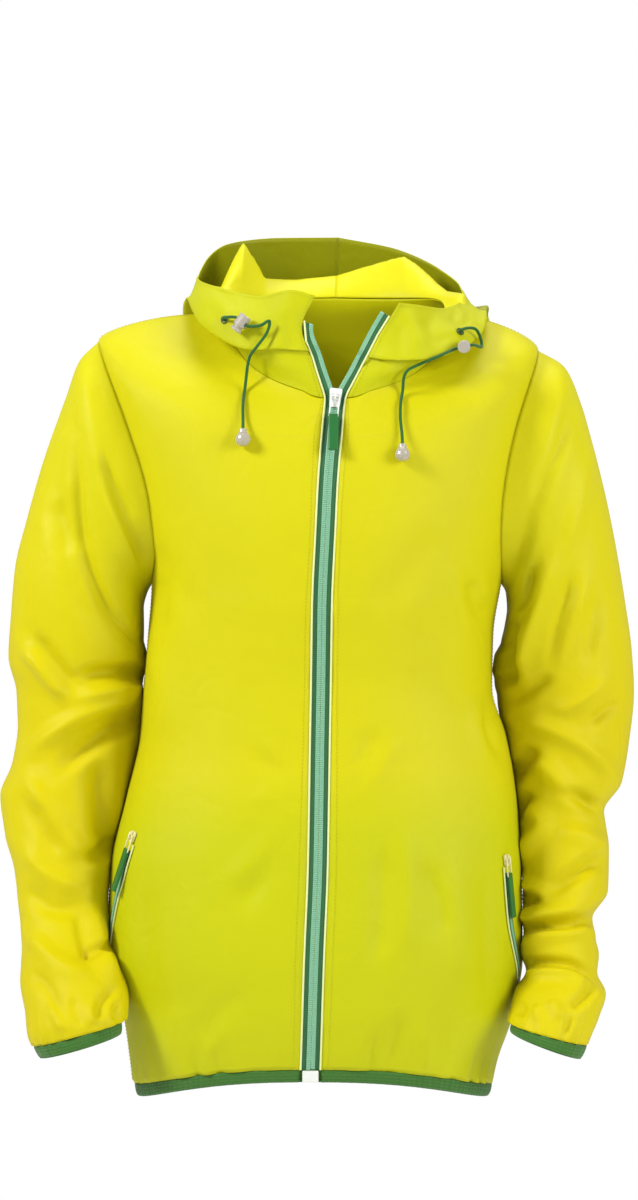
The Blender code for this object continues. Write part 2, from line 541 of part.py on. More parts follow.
EDGE_S = ZIP_HALF + PIPE_R * 2 + 0.4
ZIP_FRAMES = {}
for side, tag in ((-1.0, "left"), (1.0, "right")):
    edge, t, sd, nn = zip_line(side, 42)
    ZIP_FRAMES[side] = (edge, t, sd, nn)
    section = ((0.25, -2.15), (9.1, -2.15), (9.1, -2.15 + TAPE_T), (COIL_W + 0.4, -2.15 + TAPE_T),
               (COIL_W, -0.55), (COIL_W - 0.8, -2.15 + COIL_T), (0.9, -2.15 + COIL_T), (0.25, -0.7))
    rings = np.array([[edge[i] + sd[i] * (a - EDGE_S) * MM + nn[i] * b * MM for a, b in section]
                      for i in range(len(edge))])
    bar("zip_tape_" + tag, rings, "zip_green")
    pipe = edge + sd * (ZIP_HALF + PIPE_R - EDGE_S) * MM + nn * (-0.15) * MM
    tube("zip_piping_" + tag, pipe, 2 * PIPE_R, "piping")

# the two ends of the zip meet in a moulded box above the hem
foot = 0.5 * (ZIP_FRAMES[-1.0][0][0] + ZIP_FRAMES[1.0][0][0])


def block(name, size, centre, axes, base, bevel=0.4, seg=2, collection=None):
    """A rounded box: sizes along its three axes, which are the columns of axes."""
    bm = bmesh.new()
    bmesh.ops.create_cube(bm, size=1.0)
    bmesh.ops.scale(bm, vec=[v * MM for v in size], verts=bm.verts)
    if bevel:
        bmesh.ops.bevel(bm, geom=bm.edges[:], offset=bevel * MM, segments=seg, affect="EDGES",
                        profile=0.5)
    me = bpy.data.meshes.new(name)
    bm.to_mesh(me)
    bm.free()
    me.transform(Matrix.Translation(Vector(centre)) @ axes.to_4x4())
    smooth_mesh(me, 35)
    return add_object(name, me, base, collection)


def axes_of(n, t):
    """Rotation whose columns are sideways, into the cloth and up along it."""
    inward = -Vector(n).normalized()
    across = inward.cross(Vector(t)).normalized()
    return Matrix((across, inward, across.cross(inward))).transposed()


def union(obj, others):
    """Join other meshes to obj for good."""
    for o in others:
        mod = obj.modifiers.new("join", "BOOLEAN")
        mod.operation = "UNION"
        mod.solver = "EXACT"
        mod.object = o
        o.hide_render = True
        o.display_type = "WIRE"
    return obj


def cut(obj, others):
    for o in others:
        mod = obj.modifiers.new("cut", "BOOLEAN")
        mod.operation = "DIFFERENCE"
        mod.solver = "EXACT"
        mod.object = o
        o.hide_render = True
        o.display_type = "WIRE"
    return obj


def solid_tube(name, pts, diameter, base, collection=None, cyclic=False):
    """A round wire along pts made into a mesh, so that it can be joined or used as a cutter."""
    cu = bpy.data.curves.new(name + "_path", "CURVE")
    cu.dimensions = "3D"
    cu.bevel_depth = diameter * 0.5 * MM
    cu.bevel_resolution = 2
    cu.use_fill_caps = not cyclic
    cu.render_resolution_u = 0
    sp = cu.splines.new("POLY")
    sp.points.add(len(pts) - 1)
    for q, p in zip(sp.points, pts):
        q.co = (float(p[0]), float(p[1]), float(p[2]), 1.0)
    sp.use_cyclic_u = cyclic
    tmp = bpy.data.objects.new(name + "_path", cu)
    cutters.objects.link(tmp)
    bpy.context.view_layer.update()
    me = bpy.data.meshes.new_from_object(tmp.evaluated_get(bpy.context.evaluated_depsgraph_get()))
    bm = bmesh.new()
    bm.from_mesh(me)
    bmesh.ops.remove_doubles(bm, verts=bm.verts, dist=1e-6)
    bmesh.ops.recalc_face_normals(bm, faces=bm.faces[:])
    bm.to_mesh(me)
    bm.free()
    bpy.data.objects.remove(tmp, do_unlink=True)
    me.name = name
    smooth_mesh(me, 50)
    return add_object(name, me, base, collection)


def ring_points(cx, cz, half_w, half_l, corner, y, n=5):
    """A rounded rectangle in a local x-z plane, in millimetres."""
    pts = []
    for sx, sz, a0 in ((1, 1, 0), (-1, 1, 90), (-1, -1, 180), (1, -1, 270)):
        for k in range(n):
            a = math.radians(a0 + 90 * k / (n - 1))
            pts.append((cx + sx * (half_w - corner) + corner * math.cos(a), y,
                        cz + sz * (half_l - corner) + corner * math.sin(a)))
    return pts


def shield(name, wide_top, wide_low, length, thick, centre_y, frame, base, collection=None, z0=0.0):
    """A slider's plate: a flat tapering outline with rounded corners, in local millimetres."""
    cu = bpy.data.curves.new(name, "CURVE")
    cu.dimensions = "2D"
    cu.fill_mode = "BOTH"
    cu.extrude = thick * 0.5 * MM
    cu.render_resolution_u = 0
    sp = cu.splines.new("POLY")
    pts = []
    for sx, sz, w in ((1, 1, wide_top), (-1, 1, wide_top), (-1, -1, wide_low), (1, -1, wide_low)):
        r = 1.6
        a0 = {(1, 1): 0, (-1, 1): 90, (-1, -1): 180, (1, -1): 270}[(sx, sz)]
        for k in range(4):
            a = math.radians(a0 + 30 * k)
            pts.append((sx * (w / 2 - r) + r * math.cos(a), sz * (length / 2 - r) + r * math.sin(a)))
    sp.points.add(len(pts) - 1)
    for q, p in zip(sp.points, pts):
        q.co = (p[0] * MM, p[1] * MM, 0, 1)
    sp.use_cyclic_u = True
    tmp = bpy.data.objects.new(name + "_path", cu)
    cutters.objects.link(tmp)
    bpy.context.view_layer.update()
    me = bpy.data.meshes.new_from_object(tmp.evaluated_get(bpy.context.evaluated_depsgraph_get()))
    bm = bmesh.new()
    bm.from_mesh(me)
    bmesh.ops.remove_doubles(bm, verts=bm.verts, dist=1e-6)
    bmesh.ops.recalc_face_normals(bm, faces=bm.faces[:])
    bm.to_mesh(me)
    bm.free()
    bpy.data.objects.remove(tmp, do_unlink=True)
    me.name = name
    # outline lies in local x-y: stand it up into x-z, then place it
    me.transform(Matrix.Translation(Vector((0, centre_y * MM, z0 * MM))) @ Matrix.Rotation(math.pi / 2, 4, "X"))
    me.transform(frame)
    return add_object(name, me, base, collection)


def place(origin, axes):
    return Matrix.Translation(Vector(origin)) @ axes.to_4x4()


def slider_and_pull(prefix, slider_name, pull_name, grip_name, origin, axes, top_w, low_w, length,
                    front, back, post_z, link_half, link_len, grip_w, grip_len, lean, hang=None):
    """A zip slider with its bridge, and a pull of a wire link and a moulded grip that hangs from
    the bridge. Local y is into the cloth: front and back are the (near, far) faces of the plates."""
    frame = place(origin, axes)
    slider = shield(slider_name, top_w, low_w, length, front[1] - front[0],
                    0.5 * (front[0] + front[1]), frame, "white_plastic")
    parts = []
    if back:
        rear = shield(slider_name + "_rear", top_w * 0.9, low_w * 0.9, length * 0.9,
                      back[1] - back[0], 0.5 * (back[0] + back[1]), frame, None, cutters)
        post = block(slider_name + "_post", (2.0, back[1] - front[0] - 0.6, 2.4), (0, 0, 0),
                     Matrix.Identity(3), None, 0.0, 1, cutters)
        post.data.transform(frame @ Matrix.Translation(Vector((0, 0.5 * (front[0] + back[1]) * MM,
                                                               post_z * MM))))
        parts += [rear, post]
    # bridge: an arch of wire over the link's crossbar
    top_y = front[0]
    arch = [(0, top_y + 0.5, 4.0), (0, top_y - 1.2, 3.9), (0, top_y - 2.5, 3.1), (0, top_y - 3.05, 1.6),
            (0, top_y - 3.05, 0.2), (0, top_y - 2.5, -1.3), (0, top_y - 1.2, -2.1), (0, top_y + 0.5, -2.2)]
    bridge = solid_tube(slider_name + "_bridge", [[v * MM for v in p] for p in arch], 1.5, None, cutters)
    bridge.data.transform(frame)
    parts.append(bridge)
    union(slider, parts)
    # the link's crossbar lies under the arch: that is the hinge
    hinge = Vector((0, (top_y - 1.15), 0.9)) * MM
    pivot = bpy.data.objects.new(prefix + "_hinge", None)
    jacket.objects.link(pivot)
    pivot.matrix_world = Matrix.Translation(frame @ hinge) @ (hang or axes).to_4x4()
    bpy.context.view_layer.update()
    half = 0.5 * link_len
    ring = ring_points(0, -half, link_half, half, 1.3, 0.0)
    link = solid_tube(pull_name, [[v * MM for v in p] for p in ring], 1.3, "white_plastic", cyclic=True)
    # grip: rounded bar that is moulded round the link's lower end
    tilt = Matrix.Translation(Vector((0, 0, -(link_len - 0.8) * MM))) @ Matrix.Rotation(math.radians(lean), 4, "Y")
    grip = block(grip_name, (grip_w, 2.6, grip_len), (0, 0, 0), Matrix.Identity(3), "puller", 0.9, 2)
    grip.data.transform(tilt @ Matrix.Translation(Vector((0, 0, -(grip_len / 2 - 2.6) * MM))))
    pocket = solid_tube(grip_name + "_pocket", [[v * MM for v in p] for p in ring], 1.3 + 0.7, None,
                        cutters, cyclic=True)
    for o in (link, grip, pocket):
        o.parent = pivot
    cut(grip, [pocket])
    return slider, pivot


crotch = body(0.0, SLIDER_H)
slope = body(0.0, 0.999) - body(0.0, 0.955)
t_vec = Vector(slope).normalized()
n_vec = Vector((0, -1, 0)) - t_vec * Vector((0, -1, 0)).dot(t_vec)
n_vec.normalize()
MAIN_AXES = axes_of(n_vec, t_vec)
SLIDER_AXES = MAIN_AXES @ Matrix.Rotation(math.radians(9.6), 3, "X")   # follows the zip's bend
slider_and_pull("zip", "zip_slider", "zip_pull", "zip_pull_grip", crotch, SLIDER_AXES, 10.6, 8.6, 16.5,
                (-3.3, -2.1), (2.7, 3.9), 7.0, 3.5, 20.0, 8.0, 34.0, -5.0, MAIN_AXES)

box_axes = axes_of((0, -1, 0), (0, 0, 1))
block("zip_box", (13.4, 3.4, 9.6), foot + np.array([0, 0.0006, -0.0055]), box_axes, "white_plastic", 0.7, 2)


# ------------------------------------------------------------------ pockets
def pocket(side, tag):
    tab = np.array(POCKET_LEFT if side < 0 else POCKET_RIGHT)
    q = np.linspace(0, len(tab) - 1, 90)
    path = pchip(np.arange(len(tab)), tab, q)
    line = body(side * path[:, 0], path[:, 1])
    s = np.concatenate([[0], np.cumsum(np.linalg.norm(np.diff(line, axis=0), axis=1))])
    want = np.linspace(0, s[-1], 22)
    path = np.stack([np.interp(want, s, path[:, k]) for k in range(2)], 1)
    line = body(side * path[:, 0], path[:, 1])
    d_th = body(side * (path[:, 0] + 1.0), path[:, 1]) - line
    d_h = body(side * path[:, 0], path[:, 1] + 0.004) - line
    normal = np.cross(d_th, d_h) * side
    t, c, nn = frame_along(line, normal)
    section = ((-4.2, 0.5), (4.2, 0.5), (4.2, 1.25), (1.8, 1.25), (1.3, 2.1), (-1.3, 2.1), (-1.8, 1.25), (-4.2, 1.25))
    rings = np.array([[line[i] + c[i] * a * MM + nn[i] * b * MM for a, b in section]
                      for i in range(3, len(line))])
    bar("pocket_zip_" + tag, rings, "zip_green")
    to_front = -side * np.sign(c[:, 0:1])
    pipe = line + c * to_front * 5.45 * MM + nn * 1.35 * MM
    tube("pocket_piping_" + tag, pipe[2:], 1.5, "piping")
    up, n0 = -Vector(t[1]), Vector(nn[1])
    axes = axes_of(n0, up)
    slider_and_pull("pocket_" + tag, "pocket_slider_" + tag, "pocket_pull_" + tag,
                    "pocket_grip_" + tag, line[1], axes, 8.0, 6.6, 9.5,
                    (-2.3, -0.9), None, 0.0, 3.0, 15.0, 6.4, 38.0, 0.0)


pocket(-1.0, "left")
pocket(1.0, "right")


# ------------------------------------------------------------------ drawcords
VIEW_D, VIEW_X, VIEW_Z, VIEW_S = 3.2, -0.0095, -0.258, 0.00086


def grid_tree(grids):
    """Search tree over the quads of several grids."""
    pts, faces = [], []
    for g in grids:
        n0, (nv, nu) = len(pts), g.shape[:2]
        pts += [Vector(q) for q in g.reshape(-1, 3)]
        faces += [(n0 + j * nu + i, n0 + j * nu + i + 1, n0 + (j + 1) * nu + i + 1, n0 + (j + 1) * nu + i)
                  for j in range(nv - 1) for i in range(nu - 1)]
    return BVHTree.FromPolygons(pts, faces)


HOOD_ANGLES = np.linspace(0, 90, 31)
CLOTH_SKIN = grid_tree([lying_hood(s_, HOOD_ANGLES, 61) for s_ in (-1.0, 1.0)]
                       + [front_grid(s_, 25, ROWS) for s_ in (-1.0, 1.0)])


def hood_point(side, a, v, lift):
    """A point of the hood at angle a and share v of its profile, moved out by lift mm."""
    g = lying_hood(side, [a - 1.5, a, a + 1.5], 101)
    k = int(round(v * 100))
    n = np.cross(g[k, 2] - g[k, 0], g[min(k + 2, 100), 1] - g[max(k - 2, 0), 1]) * side
    n /= np.linalg.norm(n)
    return g[k, 1] + n * lift * MM, n


def drop_point(px, py, lift):
    """A point in front of the cloth, lift mm clear of it, given by its place in the front view:
    VIEW_S metres to the unit, from 319 across and 600 down."""
    y = -0.10
    for _ in range(4):
        k = (VIEW_D + y) / VIEW_D
        x = VIEW_X + (px - 319.0) * VIEW_S * k
        z = VIEW_Z + (600.0 - py) * VIEW_S * k
        hit = CLOTH_SKIN.ray_cast(Vector((x, -0.4, z)), Vector((0, 1, 0)))
        y = hit[0].y - (lift + CORD_D / 2) * MM
    return np.array([x, y, z])


def turned(name, profile, base, steps=20):
    """A solid of revolution from a closed profile of (radius, height) points in millimetres."""
    bm = bmesh.new()
    vs = [bm.verts.new((r * MM, 0, z * MM)) for r, z in profile]
    for a, b in zip(vs, vs[1:]):
        bm.edges.new((a, b))
    me = bpy.data.meshes.new(name)
    bm.to_mesh(me)
    bm.free()
    obj = add_object(name, me, base)
    mod = obj.modifiers.new("turn", "SCREW")
    mod.axis = "Z"
    mod.angle = 2 * math.pi
    mod.steps = steps
    mod.render_steps = steps
    mod.use_merge_vertices = True
    mod.merge_threshold = 0.00001
    mod.use_smooth_shade = True
    mod.use_normal_calculate = True
    return obj


def cylinder(name, radius, z0, z1, base=None, collection=None, seg=24, bevel=0.0):
    bm = bmesh.new()
    bmesh.ops.create_cone(bm, cap_ends=True, segments=seg, radius1=radius * MM, radius2=radius * MM,
                          depth=(z1 - z0) * MM)
    bmesh.ops.translate(bm, vec=(0, 0, 0.5 * (z0 + z1) * MM), verts=bm.verts)
    if bevel:
        rims = [e for e in bm.edges if abs(e.verts[0].co.z - e.verts[1].co.z) < 1e-7]
        bmesh.ops.bevel(bm, geom=rims, offset=bevel * MM, segments=2, affect="EDGES", profile=0.5)
    me = bpy.data.meshes.new(name)
    bm.to_mesh(me)
    bm.free()
    smooth_mesh(me, 35)
    return add_object(name, me, base, collection)


LOCK_R, LOCK_LOW, LOCK_HIGH = 5.4, -4.4, 6.2      # cord lock body
BORE_R, BORE_TOP = 4.1, 5.0
SHAFT_R, PRESS = 3.7, 2.0                         # plunger and how far it presses in
CORD_INFO = {}


def cord(side, tag, table, axis):
    route, barrel, first_n, eye = [], None, None, None
    for kind, a, b, lift in table:
        if kind == "drop":
            route.append(drop_point(a, b, lift))
        else:
            p, n = hood_point(side, a, b, lift)
            if eye is None:
                eye, first_n = p - n * (lift - 0.55) * MM, n
            if kind == "barrel":
                barrel = (len(route), p)
            route.append(p)
    k, centre = barrel
    ax = Vector(axis).normalized()
    d = Vector(route[k + 1] - route[k - 1])
    d = (d - ax * d.dot(ax)).normalized()
    through = [centre + np.array(d) * u * MM for u in (-7.0, -3.5, 0.0, 3.5, 7.0)]
    route = route[:k] + through + route[k + 1:]
    line = rounded(np.array(route), 52)
    # the last stretch runs straight into the end piece, which lies along the cloth
    end = line[-1].copy()
    px, py = table[-1][1:3]
    below, above = drop_point(px, py + 16.0, 0.0), drop_point(px, py, 0.0)
    down = Vector(below - above).normalized()
    tail = [end + np.array(down) * s * MM for s in (2.5, 5.0, 8.2)]
    line = np.vstack([line, tail])
    tube("cord_" + tag, line, CORD_D, "cord")
    # eyelet ring where the cord leaves the hood
    bpy.ops.mesh.primitive_torus_add(major_segments=20, minor_segments=6, major_radius=2.9 * MM,
                                     minor_radius=0.75 * MM)
    ring = bpy.context.active_object
    for c in list(ring.users_collection):
        c.objects.unlink(ring)
    jacket.objects.link(ring)
    ring.name = "eyelet_" + tag
    ring.data.shade_smooth()
    ring.rotation_euler = Vector(first_n).to_track_quat("Z", "Y").to_euler()
    ring.location = Vector(eye) + Vector(first_n) * 0.75 * MM
    own_material(ring, "eyelet")
    # cord lock: body bored along its axis and across it for the cord, plunger with a slot
    rot = Matrix((ax.cross(d) * -1.0, d, ax)).transposed()
    if rot.determinant() < 0:
        rot = Matrix((ax.cross(d), d, ax)).transposed()
    frame = Matrix.Translation(Vector(centre)) @ rot.to_4x4()
    lock = cylinder("cordlock_body_" + tag, LOCK_R, LOCK_LOW, LOCK_HIGH, "clear_plastic", bevel=0.7)
    bore = cylinder("cordlock_bore_" + tag, BORE_R, LOCK_LOW - 1.0, BORE_TOP, None, cutters)
    hole = cylinder("cordlock_hole_" + tag, CORD_D / 2 + 0.45, -8.0, 8.0, None, cutters, 16)
    hole.data.transform(Matrix.Rotation(math.pi / 2, 4, "X"))
    plunger = cylinder("cordlock_plunger_" + tag, SHAFT_R, LOCK_LOW - PRESS - 0.6, BORE_TOP - PRESS - 0.5,
                       "clear_plastic")
    cap = cylinder("cordlock_cap_" + tag, LOCK_R - 0.3, LOCK_LOW - PRESS - 0.3 - 2.6,
                   LOCK_LOW - PRESS - 0.3, None, cutters, bevel=0.9)
    slot = block("cordlock_slot_" + tag, (2 * SHAFT_R - 3.6, 2 * SHAFT_R + 2, CORD_D + 1.0 + PRESS),
                 (0, 0, 0), Matrix.Identity(3), None, 0.0, 1, cutters)
    slot.data.transform(Matrix.Translation(Vector((0, 0, -PRESS / 2 * MM))))
    for o in (lock, bore, hole, plunger, cap, slot):
        o.matrix_world = frame
    cut(lock, [bore, hole])
    union(plunger, [cap])
    cut(plunger, [slot])
    # moulded end piece that the cord's end sits in
    r0 = CORD_D / 2 + 0.45
    prof = ((r0, 0.0), (3.0, 0.0), (3.4, -1.0), (3.5, -3.0), (5.2, -5.0), (6.1, -7.5), (6.2, -9.5),
            (5.4, -12.0), (3.2, -13.8), (0.0, -14.4))
    inner = ((0.0, -9.0), (r0, -9.0), (r0, 0.0))
    bell = turned("cord_end_" + tag, list(prof[::1]) + list(inner), "clear_plastic")
    bell.rotation_euler = (-down).to_track_quat("Z", "Y").to_euler()
    bell.location = Vector(end) + down * 0.0002
    CORD_INFO[tag] = dict(route=[[round(float(v) * 1000, 2) for v in p] for p in line],
                          exit=[float(v) for v in eye], axis=list(ax), centre=[float(v) for v in centre],
                          direction=list(d), length=float(np.linalg.norm(np.diff(line, axis=0), axis=1).sum()))


cord(-1.0, "left", CORD_LEFT, (0.60, -0.10, 0.79))
cord(1.0, "right", CORD_RIGHT, (0.10, 0.97, 0.10))
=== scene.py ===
"""Looks of the hooded rain jacket: crisp nylon with its folds, coil zips, bindings, stitching, cords,
studio light and camera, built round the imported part."""
import math
import bpy
import bmesh
import numpy as np
from mathutils import Vector, Matrix
from mathutils.bvhtree import BVHTree


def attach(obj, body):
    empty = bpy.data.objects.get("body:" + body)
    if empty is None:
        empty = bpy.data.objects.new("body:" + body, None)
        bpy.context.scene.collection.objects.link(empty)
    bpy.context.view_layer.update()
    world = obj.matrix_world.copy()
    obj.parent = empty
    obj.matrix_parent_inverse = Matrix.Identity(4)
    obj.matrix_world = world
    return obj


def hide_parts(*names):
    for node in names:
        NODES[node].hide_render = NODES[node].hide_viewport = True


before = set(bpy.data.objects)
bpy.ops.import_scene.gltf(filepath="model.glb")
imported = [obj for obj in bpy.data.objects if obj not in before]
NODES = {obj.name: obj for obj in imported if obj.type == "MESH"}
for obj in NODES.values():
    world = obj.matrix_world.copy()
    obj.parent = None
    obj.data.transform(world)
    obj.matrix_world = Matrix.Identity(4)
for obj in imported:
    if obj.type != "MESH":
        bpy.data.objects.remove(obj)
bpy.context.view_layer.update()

MM = 0.001

# ------------------------------------------------------------------ driving sizes, millimetres
CLOTH = 1.0            # wall of every cloth panel
SEAM = 0.45            # gap kept between neighbouring panels
BIND = 1.9             # wall of the elastic bindings
HEM_BAND = 10.0        # height of the hem binding
CUFF_BAND = 9.0        # height of the cuff bindings
ZIP_HALF = 7.4         # zip centre to the edge of the front panel
PIPE_R = 0.85          # radius of the piping cord along the zip
TAPE_T = 0.8           # wall of the zip tape
COIL_T = 1.9           # depth of the zip coil
COIL_W = 3.3           # width of one half of the coil
CORD_D = 2.6           # drawcord
HOOD_GAP = 5.0         # how far the hood's cloth stays off the body it lies on
ARM_FRONT, ARM_BACK = 27.0, 27.0   # how far the armhole reaches round the body, degrees
ARM_LOW, ARM_HIGH = 0.610, 0.885   # heights of the armhole's two ends on the side line

# Body, a row for each level from hem to neckline. z_* heights at centre front, the two sides and
# centre back; x_left, x_right the two side lines; x_zip the zip's centre; y_* depths; square is the
# exponent that squares the section; saddle shapes how height runs from front or back to side.
BODY = (
    # h     z_front z_left z_right z_back x_left x_right x_zip y_front y_side y_back square saddle
    (0.000, -658.0, -681.0, -681.0, -688.0, -166.0, 137.0, -17.0, -117.0, 0.0, 118.0, 0.80, 2.00),
    (0.045, -630.0, -652.0, -652.0, -656.0, -171.0, 143.0, -16.0, -123.0, 0.0, 124.0, 0.80, 2.00),
    (0.100, -597.0, -614.0, -614.0, -618.0, -177.0, 156.0, -15.0, -128.0, 0.0, 129.0, 0.80, 2.00),
    (0.170, -552.0, -562.0, -562.0, -564.0, -191.0, 165.0, -13.5, -130.0, 0.0, 131.0, 0.80, 2.00),
    (0.280, -480.0, -487.0, -487.0, -487.0, -188.0, 164.0, -10.5, -126.0, 0.0, 122.0, 0.80, 2.00),
    (0.360, -425.0, -428.0, -428.0, -428.0, -175.0, 160.0, -9.5, -121.0, 0.0, 108.0, 0.82, 2.00),
    (0.440, -372.0, -374.0, -374.0, -373.0, -163.0, 151.0, -8.7, -117.0, 0.0, 98.0, 0.84, 2.00),
    (0.500, -333.0, -333.0, -333.0, -332.0, -160.0, 139.0, -8.0, -116.0, 0.0, 95.0, 0.85, 2.00),
    (0.560, -294.0, -287.0, -287.0, -290.0, -156.0, 140.0, -7.5, -120.0, 2.0, 99.0, 0.85, 2.00),
    (0.610, -260.0, -243.0, -243.0, -252.0, -153.0, 147.0, -7.0, -125.0, 4.0, 105.0, 0.85, 2.00),
    (0.700, -207.0, -175.0, -175.0, -190.0, -165.0, 158.0, -4.5, -127.0, 6.0, 113.0, 0.84, 2.00),
    (0.800, -157.0, -98.0, -98.0, -122.0, -186.0, 171.0, -2.0, -121.0, 8.0, 116.0, 0.84, 1.80),
    (0.885, -122.0, -35.0, -43.0, -66.0, -199.0, 179.0, 1.0, -112.0, 8.0, 110.0, 0.86, 1.60),
    (0.940, -105.0, -14.0, -18.0, -26.0, -142.0, 138.0, 2.5, -106.0, 4.0, 94.0, 0.92, 1.20),
    (1.000, -90.0, -9.0, -9.0, 8.0, -82.0, 93.0, 4.0, -99.0, 0.0, 72.0, 1.00, 0.80),
)

# Sleeves, a row for each section or fold from the armhole to the cuff. outer and inner are the
# two edges of the section in the front view, y_mid its middle depth, half_y its half depth.
SLEEVE_LEFT = (
    # x_outer z_outer x_inner z_inner y_mid half_y
    (-215.0, -53.0, -157.5, -252.0, 5.0, 66.0),
    (-227.0, -84.0, -160.5, -265.0, 5.0, 65.0),
    (-246.0, -137.0, -160.5, -281.0, 6.0, 63.0),
    (-261.0, -189.0, -161.0, -297.0, 8.0, 62.0),
    (-271.0, -230.0, -162.0, -309.0, 10.0, 62.0),
    (-275.0, -272.0, -163.5, -323.0, 13.0, 61.0),
    (-277.0, -306.0, -165.5, -337.0, 15.0, 60.0),
    (-271.0, -337.0, -167.0, -353.0, 16.0, 58.0),
    (-270.0, -365.0, -169.5, -373.0, 16.0, 57.0),
    (-274.0, -396.0, -174.5, -394.0, 14.0, 57.0),
    (-283.0, -427.0, -181.0, -425.0, 9.0, 57.0),
    (-279.0, -458.0, -188.5, -458.0, 1.0, 55.0),
    (-271.0, -488.0, -195.5, -486.0, -9.0, 50.0),
    (-266.0, -519.0, -198.5, -516.0, -20.0, 47.0),
    (-262.0, -548.0, -198.0, -542.0, -38.0, 46.0),
    (-261.0, -577.0, -189.0, -564.0, -58.0, 46.0),
    (-256.0, -603.5, -179.0, -585.5, -76.0, 45.0),
    (-252.0, -622.5, -175.5, -600.5, -86.0, 43.0),
    (-243.0, -640.0, -174.0, -620.0, -92.0, 38.0),
)
SLEEVE_RIGHT = (
    # x_outer z_outer x_inner z_inner y_mid half_y
    (201.0, -58.0, 151.5, -252.0, 6.0, 66.0),
    (215.0, -88.0, 152.5, -266.0, 5.0, 64.0),
    (226.0, -125.0, 150.5, -281.0, 6.0, 62.0),
    (237.0, -168.0, 147.5, -295.0, 8.0, 62.0),
    (246.0, -211.0, 146.0, -307.0, 10.0, 62.0),
    (254.0, -258.0, 145.5, -319.0, 12.0, 61.0),
    (260.0, -301.0, 145.0, -331.0, 14.0, 61.0),
    (262.0, -336.0, 148.0, -347.0, 15.0, 60.0),
    (258.0, -379.0, 156.0, -371.0, 15.0, 57.0),
    (251.0, -414.0, 162.5, -398.0, 12.0, 53.0),
    (237.0, -441.0, 166.5, -430.0, 6.0, 47.0),
    (239.0, -473.0, 169.0, -471.0, -3.0, 49.0),
    (237.0, -506.0, 173.5, -503.0, -13.0, 47.0),
    (225.0, -530.0, 170.5, -523.0, -21.0, 42.0),
    (226.0, -546.0, 174.0, -540.0, -29.0, 43.0),
    (228.0, -559.0, 170.0, -556.0, -35.0, 42.0),
    (227.0, -573.0, 173.0, -571.0, -42.0, 43.0),
    (231.0, -590.0, 163.0, -587.0, -60.0, 46.0),
    (225.0, -609.0, 157.0, -600.0, -72.0, 45.0),
    (217.0, -626.0, 153.0, -609.0, -81.0, 42.0),
    (210.0, -641.0, 150.0, -619.0, -88.0, 38.0),
)

# Hood lying back, a row for each station round the neck from the zip edge (0) to the centre back
# (180). rim_* is the face edge, wall_* the widest point of the outer wall under it; pouch_* and
# ridge_* are how far the cloth leaves the straight way from the neck seam to that wall.
HOOD_LEFT = (
    # angle rim_x rim_y rim_z wall_x wall_y wall_z pouch_out pouch_up pouch_half ridge_out ridge_up
    (0.0, -13.0, -86.0, -3.0, -24.0, -91.0, -30.0, 1.0, 0.0, 1.5, 1.0, 0.0),
    (18.0, -33.0, -84.0, 2.0, -40.0, -95.0, -31.0, 4.0, 0.0, 1.5, 3.0, 0.0),
    (42.0, -58.0, -70.0, -2.0, -68.0, -88.0, -28.0, 9.0, -6.0, 3.0, 6.0, 1.0),
    (66.0, -92.0, -40.0, 7.0, -102.0, -60.0, -12.0, 10.0, -4.0, 5.0, 6.0, 6.0),
    (88.0, -114.0, 8.0, 20.0, -120.0, 4.0, 4.0, 8.0, 2.0, 8.0, 6.0, 22.0),
    (112.0, -110.0, 64.0, 38.0, -124.0, 72.0, -4.0, 14.0, -24.0, 12.0, 2.0, 46.0),
    (136.0, -92.0, 108.0, 58.0, -106.0, 136.0, -24.0, 20.0, -78.0, 16.0, 0.0, 60.0),
    (160.0, -46.0, 130.0, 66.0, -54.0, 168.0, -44.0, 24.0, -132.0, 18.0, -4.0, 56.0),
    (180.0, 8.0, 136.0, 67.0, 8.0, 178.0, -52.0, 26.0, -144.0, 18.0, -6.0, 54.0),
)
HOOD_RIGHT = (
    # angle rim_x rim_y rim_z wall_x wall_y wall_z pouch_out pouch_up pouch_half ridge_out ridge_up
    (0.0, 58.0, -84.0, -9.0, 40.0, -91.0, -38.0, 1.0, 0.0, 1.5, 1.0, 0.0),
    (18.0, 72.0, -76.0, -10.0, 64.0, -94.0, -42.0, 6.0, -2.0, 2.0, 4.0, 0.0),
    (42.0, 92.0, -52.0, -11.0, 99.0, -76.0, -34.0, 11.0, -6.0, 4.0, 7.0, 2.0),
    (66.0, 108.0, -20.0, -5.0, 122.0, -38.0, -22.0, 13.0, -2.0, 6.0, 8.0, 8.0),
    (88.0, 116.0, 22.0, 5.0, 130.0, 16.0, -8.0, 10.0, 3.0, 8.0, 8.0, 20.0),
    (112.0, 114.0, 64.0, 18.0, 131.0, 70.0, -14.0, 14.0, -22.0, 12.0, 2.0, 40.0),
    (136.0, 98.0, 106.0, 36.0, 112.0, 132.0, -30.0, 20.0, -74.0, 16.0, 0.0, 56.0),
    (160.0, 60.0, 130.0, 56.0, 66.0, 166.0, -46.0, 24.0, -130.0, 18.0, -4.0, 56.0),
    (180.0, 8.0, 136.0, 67.0, 8.0, 178.0, -52.0, 26.0, -144.0, 18.0, -6.0, 54.0),
)
NECK_X, NECK_Y = 6.0, -8.0   # the neck's axis, that the hood's "out" is measured from

ZIP_TOP = {-1.0: 0.765, 1.0: 0.86}   # share of the hood's zip edge where each zip half ends
SLIDER_H = 0.9985                    # height of the main slider on the zip

